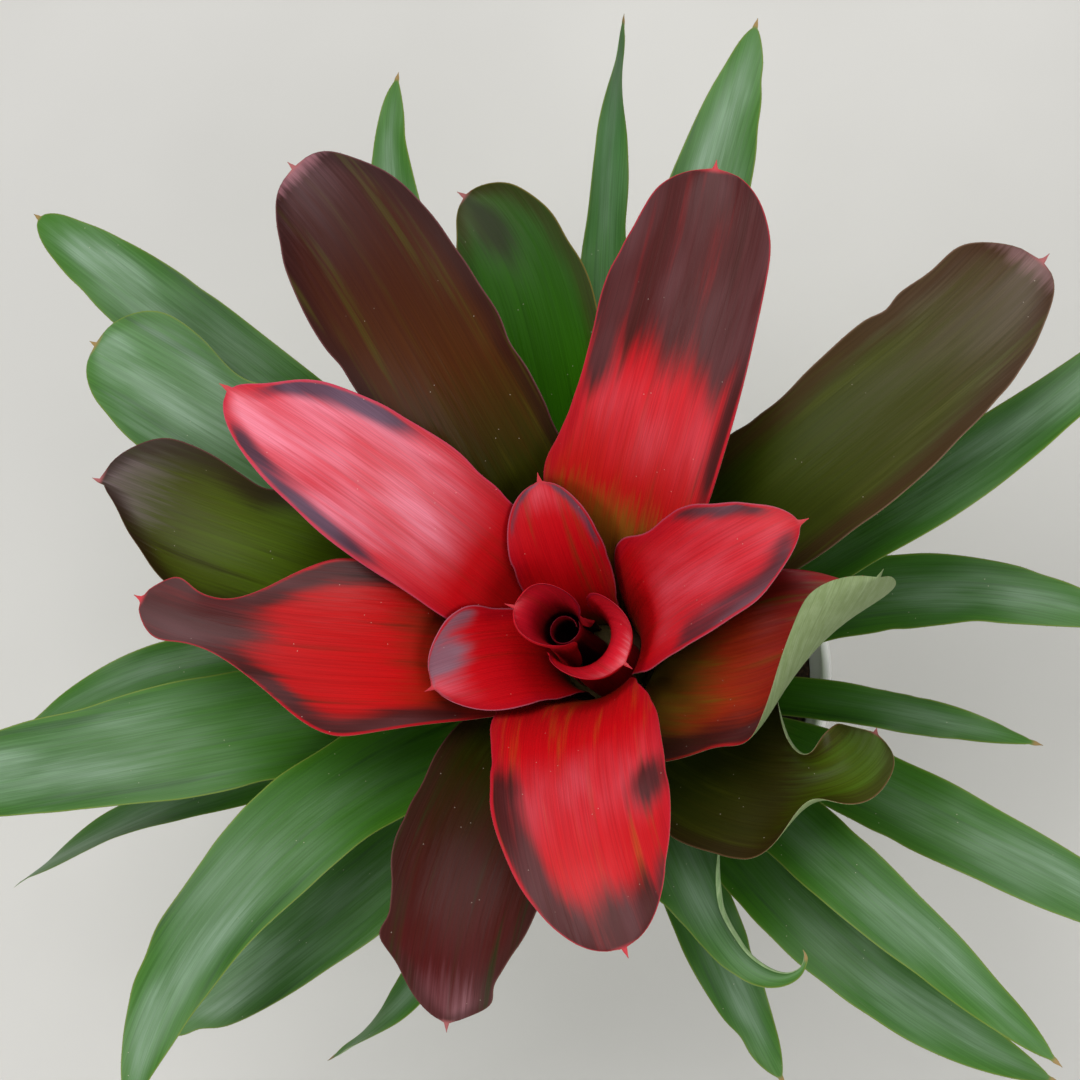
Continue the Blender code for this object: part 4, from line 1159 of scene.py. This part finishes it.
def drill(piece, east, north):
    """Cuts one drain hole through the pot's floor."""
    depth = 2 * POT_FLOOR
    profile = [(0, depth), (DRAIN_RADIUS, depth), (DRAIN_RADIUS, -depth), (0, -depth)]
    points, faces = turned(profile, DRAIN_STEPS)
    mesh = bpy.data.meshes.new("drain_bore")
    mesh.from_pydata((points + [east, north, 0]).tolist(), [], faces)
    bore = in_scene("drain_bore", mesh)
    cut = piece.modifiers.new("drain", "BOOLEAN")
    cut.object = bore
    cut.operation = "DIFFERENCE"
    graph = bpy.context.evaluated_depsgraph_get()
    cut_mesh = bpy.data.meshes.new_from_object(piece.evaluated_get(graph))
    piece.modifiers.clear()
    piece.data = cut_mesh
    bpy.data.objects.remove(bore)


def make_pot():
    """The pot, with a rounded rim, a ledge inside, a hollow base, and drain holes cut through its floor."""
    points, faces = turned(pot_profile(), POT_STEPS)
    piece = make_piece("nursery_pot", points, faces, plastic_paint(), ["pot"])
    for hole in range(DRAIN_HOLES):
        angle = 2 * math.pi * (hole + 0.5) / DRAIN_HOLES
        drill(piece, DRAIN_CIRCLE * math.cos(angle), DRAIN_CIRCLE * math.sin(angle))
    piece.data.shade_smooth()
    edges = piece.modifiers.new("crisp", "EDGE_SPLIT")
    edges.split_angle = math.radians(40)


def soil_top(radius):
    """Height of the mix: flat in the middle, rising towards the pot's wall."""
    share = radius / pot_inner_radius(SOIL_EDGE)
    return SOIL_MIDDLE + (SOIL_EDGE - SOIL_MIDDLE) * smooth(SOIL_FLAT_SHARE, 1, share)


def lumps(x, y, rng):
    """Height of uneven soil in metres: a sum of plane waves, coarse ones higher than fine ones."""
    total = 0 * x
    for size, height, count in LUMPS:
        ways = rng.uniform(0, 2 * np.pi, count)
        starts = rng.uniform(0, 2 * np.pi, count)
        rate = 2 * np.pi / (size * MM)
        waves = [np.sin(rate * (x * np.cos(w) + y * np.sin(w)) + p) for w, p in zip(ways, starts)]
        total = total + height * MM * sum(waves) / math.sqrt(count)
    return total


def make_soil(rng):
    """Potting mix with an uneven top, and on it bark chips and root fibres."""
    edge = pot_inner_radius(SOIL_EDGE) - SOIL_GAP
    bottom = POT_FLOOR + SOIL_GAP
    foot = pot_inner_radius(bottom + POT_CORNER) - SOIL_GAP
    profile = [(0, bottom), (foot - 1.6 * POT_CORNER, bottom), (foot, bottom + 1.2 * POT_CORNER)]
    profile += [(r, float(soil_top(r))) for r in np.linspace(edge, 0, SOIL_RINGS)]
    points, faces = turned(profile, SOIL_STEPS)
    top = points[:, 2] > SOIL_MIDDLE - MM
    points[top, 2] += lumps(points[top, 0], points[top, 1], rng)
    make_piece("potting_mix_bed", points, faces, soil_paint(), ["potting_mix"])
    make_chips(rng, edge)
    make_fibres(rng, edge)


def random_turns(rng, count, tilt):
    """Rotation matrices that spin freely about Z and lean by up to tilt."""
    spin = rng.uniform(0, 2 * np.pi, count)
    lean = rng.uniform(0, tilt, count)
    way = rng.uniform(0, 2 * np.pi, count)
    up = np.stack([np.sin(lean) * np.cos(way), np.sin(lean) * np.sin(way), np.cos(lean)], 1)
    side = np.stack([np.cos(spin), np.sin(spin), 0 * spin], 1)
    side = unit(side - up * np.sum(side * up, axis=1, keepdims=True))
    return np.stack([side, np.cross(up, side), up], 2)


def make_chips(rng, edge):
    """Bark chips: eight-sided slabs with uneven corners, lying half sunk in the mix.

    Each is four rings of corners, of which the top and the bottom one are narrower and end in a point. It is
    stretched, flattened and tilted, and its place lies anywhere on the mix.
    """
    angle = 2 * np.pi * np.arange(CHIP_SIDES) / CHIP_SIDES
    smallest, largest = CHIP_SIZES
    size = smallest + (largest - smallest) * rng.uniform(0, 1, CHIPS) ** 2
    stretch = rng.uniform(0.4, 0.9, CHIPS)
    flat = rng.uniform(0.12, 0.3, CHIPS)
    grid = (CHIPS, len(CHIP_LEVELS), CHIP_SIDES)
    reach = rng.uniform(0.75, 1.2, grid) * CHIP_LEVELS[:, None, 0]
    body = np.empty((*grid, 3))
    body[..., 0] = reach * np.cos(angle)
    body[..., 1] = reach * np.sin(angle) * stretch[:, None, None]
    body[..., 2] = CHIP_LEVELS[:, None, 1] * flat[:, None, None] * rng.uniform(0.8, 1.2, grid)
    ends = flat[:, None, None] * np.array([UP, -UP])
    points = np.concatenate([body.reshape(CHIPS, -1, 3), ends], 1) * 0.5 * size[:, None, None]
    points = np.einsum("cij,ckj->cki", random_turns(rng, CHIPS, CHIP_TILT), points)
    far = np.sqrt(rng.uniform(0.02, 1, CHIPS)) * (edge - CHIP_MARGIN)
    way = rng.uniform(0, 2 * np.pi, CHIPS)
    height = soil_top(far) + CHIP_RISE
    points = points + np.stack([far * np.cos(way), far * np.sin(way), height], 1)[:, None]
    index, onward = rings(len(CHIP_LEVELS), CHIP_SIDES)
    top, bottom = np.full((2, CHIP_SIDES), index.size) + [[0], [1]]
    caps = np.vstack([np.stack([top, index[0], onward[0]], 1), np.stack([bottom, onward[-1], index[-1]], 1)])
    each = index.size + 2
    faces = repeated(quads(index[:-1], index[1:], onward[1:], onward[:-1]), CHIPS, each)
    faces += repeated(caps, CHIPS, each)
    points = points.reshape(-1, 3)
    paint = bark_paint("bark_of_chips")
    piece = make_piece("bark_chips", points, faces, paint, [], smoothed=False)
    put_attribute(piece, "tint", np.repeat(rng.uniform(0, 1, CHIPS), each))


def make_fibres(rng, edge):
    """Root fibres: thin three-sided threads that wander over the mix.

    The heading of each turns evenly and sways on a sine, its steps add up to its line, and it thins out.
    """
    t = np.linspace(0, 1, FIBRE_ROWS)
    length = rng.uniform(*FIBRE_LENGTHS, FIBRES)[:, None]
    way = rng.uniform(0, 2 * np.pi, FIBRES)[:, None]
    bend = rng.uniform(-2.2, 2.2, FIBRES)[:, None]
    heading = way + bend * t + 0.5 * np.sin(2 * np.pi * t * rng.uniform(0.6, 1.6, (FIBRES, 1)))
    reach = np.sqrt(rng.uniform(0.02, 0.8, FIBRES))[:, None] * edge
    start_way = rng.uniform(0, 2 * np.pi, FIBRES)[:, None]
    x = reach * np.cos(start_way) + np.cumsum(np.cos(heading), 1) * length / FIBRE_ROWS
    y = reach * np.sin(start_way) + np.cumsum(np.sin(heading), 1) * length / FIBRE_ROWS
    shrink = np.minimum(1, (edge - FIBRE_MARGIN) / np.hypot(x, y))
    x, y = x * shrink, y * shrink
    z = soil_top(np.hypot(x, y)) + FIBRE_RISE * (1 + np.sin(np.pi * t) * rng.uniform(0, 1, (FIBRES, 1)))
    radius = rng.uniform(*FIBRE_RADII, (FIBRES, 1)) * (1 - 0.7 * t)
    angle = 2 * np.pi * np.arange(3) / 3
    out = np.stack([-np.sin(heading), np.cos(heading), 0 * heading], -1)
    ring = out[:, :, None] * np.cos(angle)[:, None] + UP * np.sin(angle)[:, None]
    points = np.stack([x, y, z], -1)[:, :, None] + ring * radius[:, :, None, None]
    index, onward = rings(FIBRE_ROWS, 3)
    faces = repeated(quads(index[:-1], index[1:], onward[1:], onward[:-1]), FIBRES, index.size)
    faces += repeated([index[0], index[-1, ::-1]], FIBRES, index.size)
    points = points.reshape(-1, 3)
    piece = make_piece("root_fibres", points, faces, bark_paint("bark_of_fibres"), [])
    put_attribute(piece, "tint", np.repeat(rng.uniform(0.3, 1, FIBRES), index.size))


# Studio

def make_floor():
    """A plain level square that lies a hair below the pot."""
    mesh = bpy.data.meshes.new("floor")
    corners = [(x * FLOOR_HALF, y * FLOOR_HALF, -FLOOR_DROP) for x, y in ((-1, -1), (1, -1), (1, 1), (-1, 1))]
    mesh.from_pydata(corners, [], [(0, 1, 2, 3)])
    mesh.materials.append(floor_paint())
    in_scene("floor", mesh)


def make_light(name, compass, height, size, power):
    """A square soft light that looks at the plant from a compass bearing and a height in degrees."""
    light = bpy.data.lights.new(name, "AREA")
    light.size = size
    light.energy = power
    lamp = in_scene(name, light)
    a, h = math.radians(compass), math.radians(height)
    way = Vector((math.cos(h) * math.cos(a), math.cos(h) * math.sin(a), math.sin(h)))
    lamp.location = Vector(LIT_POINT) + way * LIGHT_DISTANCE
    lamp.rotation_euler = way.to_track_quat("Z", "Y").to_euler()


def make_studio():
    """Plain view colours, the floor, a dim even sky and three soft lights."""
    bpy.context.scene.view_settings.view_transform = "Standard"
    make_floor()
    world = bpy.data.worlds.new("soft_sky")
    world.use_nodes = True
    sky = world.node_tree.nodes["Background"]
    sky.inputs["Color"].default_value = SKY_COLOUR
    sky.inputs["Strength"].default_value = SKY_STRENGTH
    bpy.context.scene.world = world
    for light in LIGHTS:
        make_light(*light)


def make_camera():
    """Looks down at the pot's rim, tilted as the photograph, with the rim's middle on its pixel."""
    back = Vector((math.sin(TILT) * TILT_WAY[0], math.sin(TILT) * TILT_WAY[1], math.cos(TILT)))
    right = (-back).cross(Vector((0, 1, 0))).normalized()
    up = right.cross(-back)
    middle = FRAME_SIDE / 2
    target = Vector((0, 0, POT_HEIGHT)) - right * (RIM_PIXEL[0] - middle) * METRES_PER_PIXEL
    target = target + up * (RIM_PIXEL[1] - middle) * METRES_PER_PIXEL
    lens = bpy.data.cameras.new("camera")
    lens.sensor_width = SENSOR
    lens.lens = SENSOR * EYE_DISTANCE / METRES_PER_PIXEL / FRAME_SIDE
    camera = in_scene("camera", lens)
    place = Matrix.Translation(target + back * EYE_DISTANCE)
    camera.matrix_world = place @ Matrix((right, up, back)).transposed().to_4x4()
    bpy.context.scene.camera = camera


def main():
    leaves = [read_leaf(row) for row in LEAVES]
    for leaf in leaves:
        leaf["clasp"] = clasp_share(leaf, leaves)
    for number, leaf in enumerate(leaves):
        make_leaf(leaf, np.random.default_rng([LEAF_SEED, number]))
    make_tube()
    make_pot()
    make_soil(np.random.default_rng(SOIL_SEED))
    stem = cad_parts["stem"]
    stem.data.materials.clear()
    stem.data.materials.append(stem_paint())
    make_studio()
    make_camera()


main()
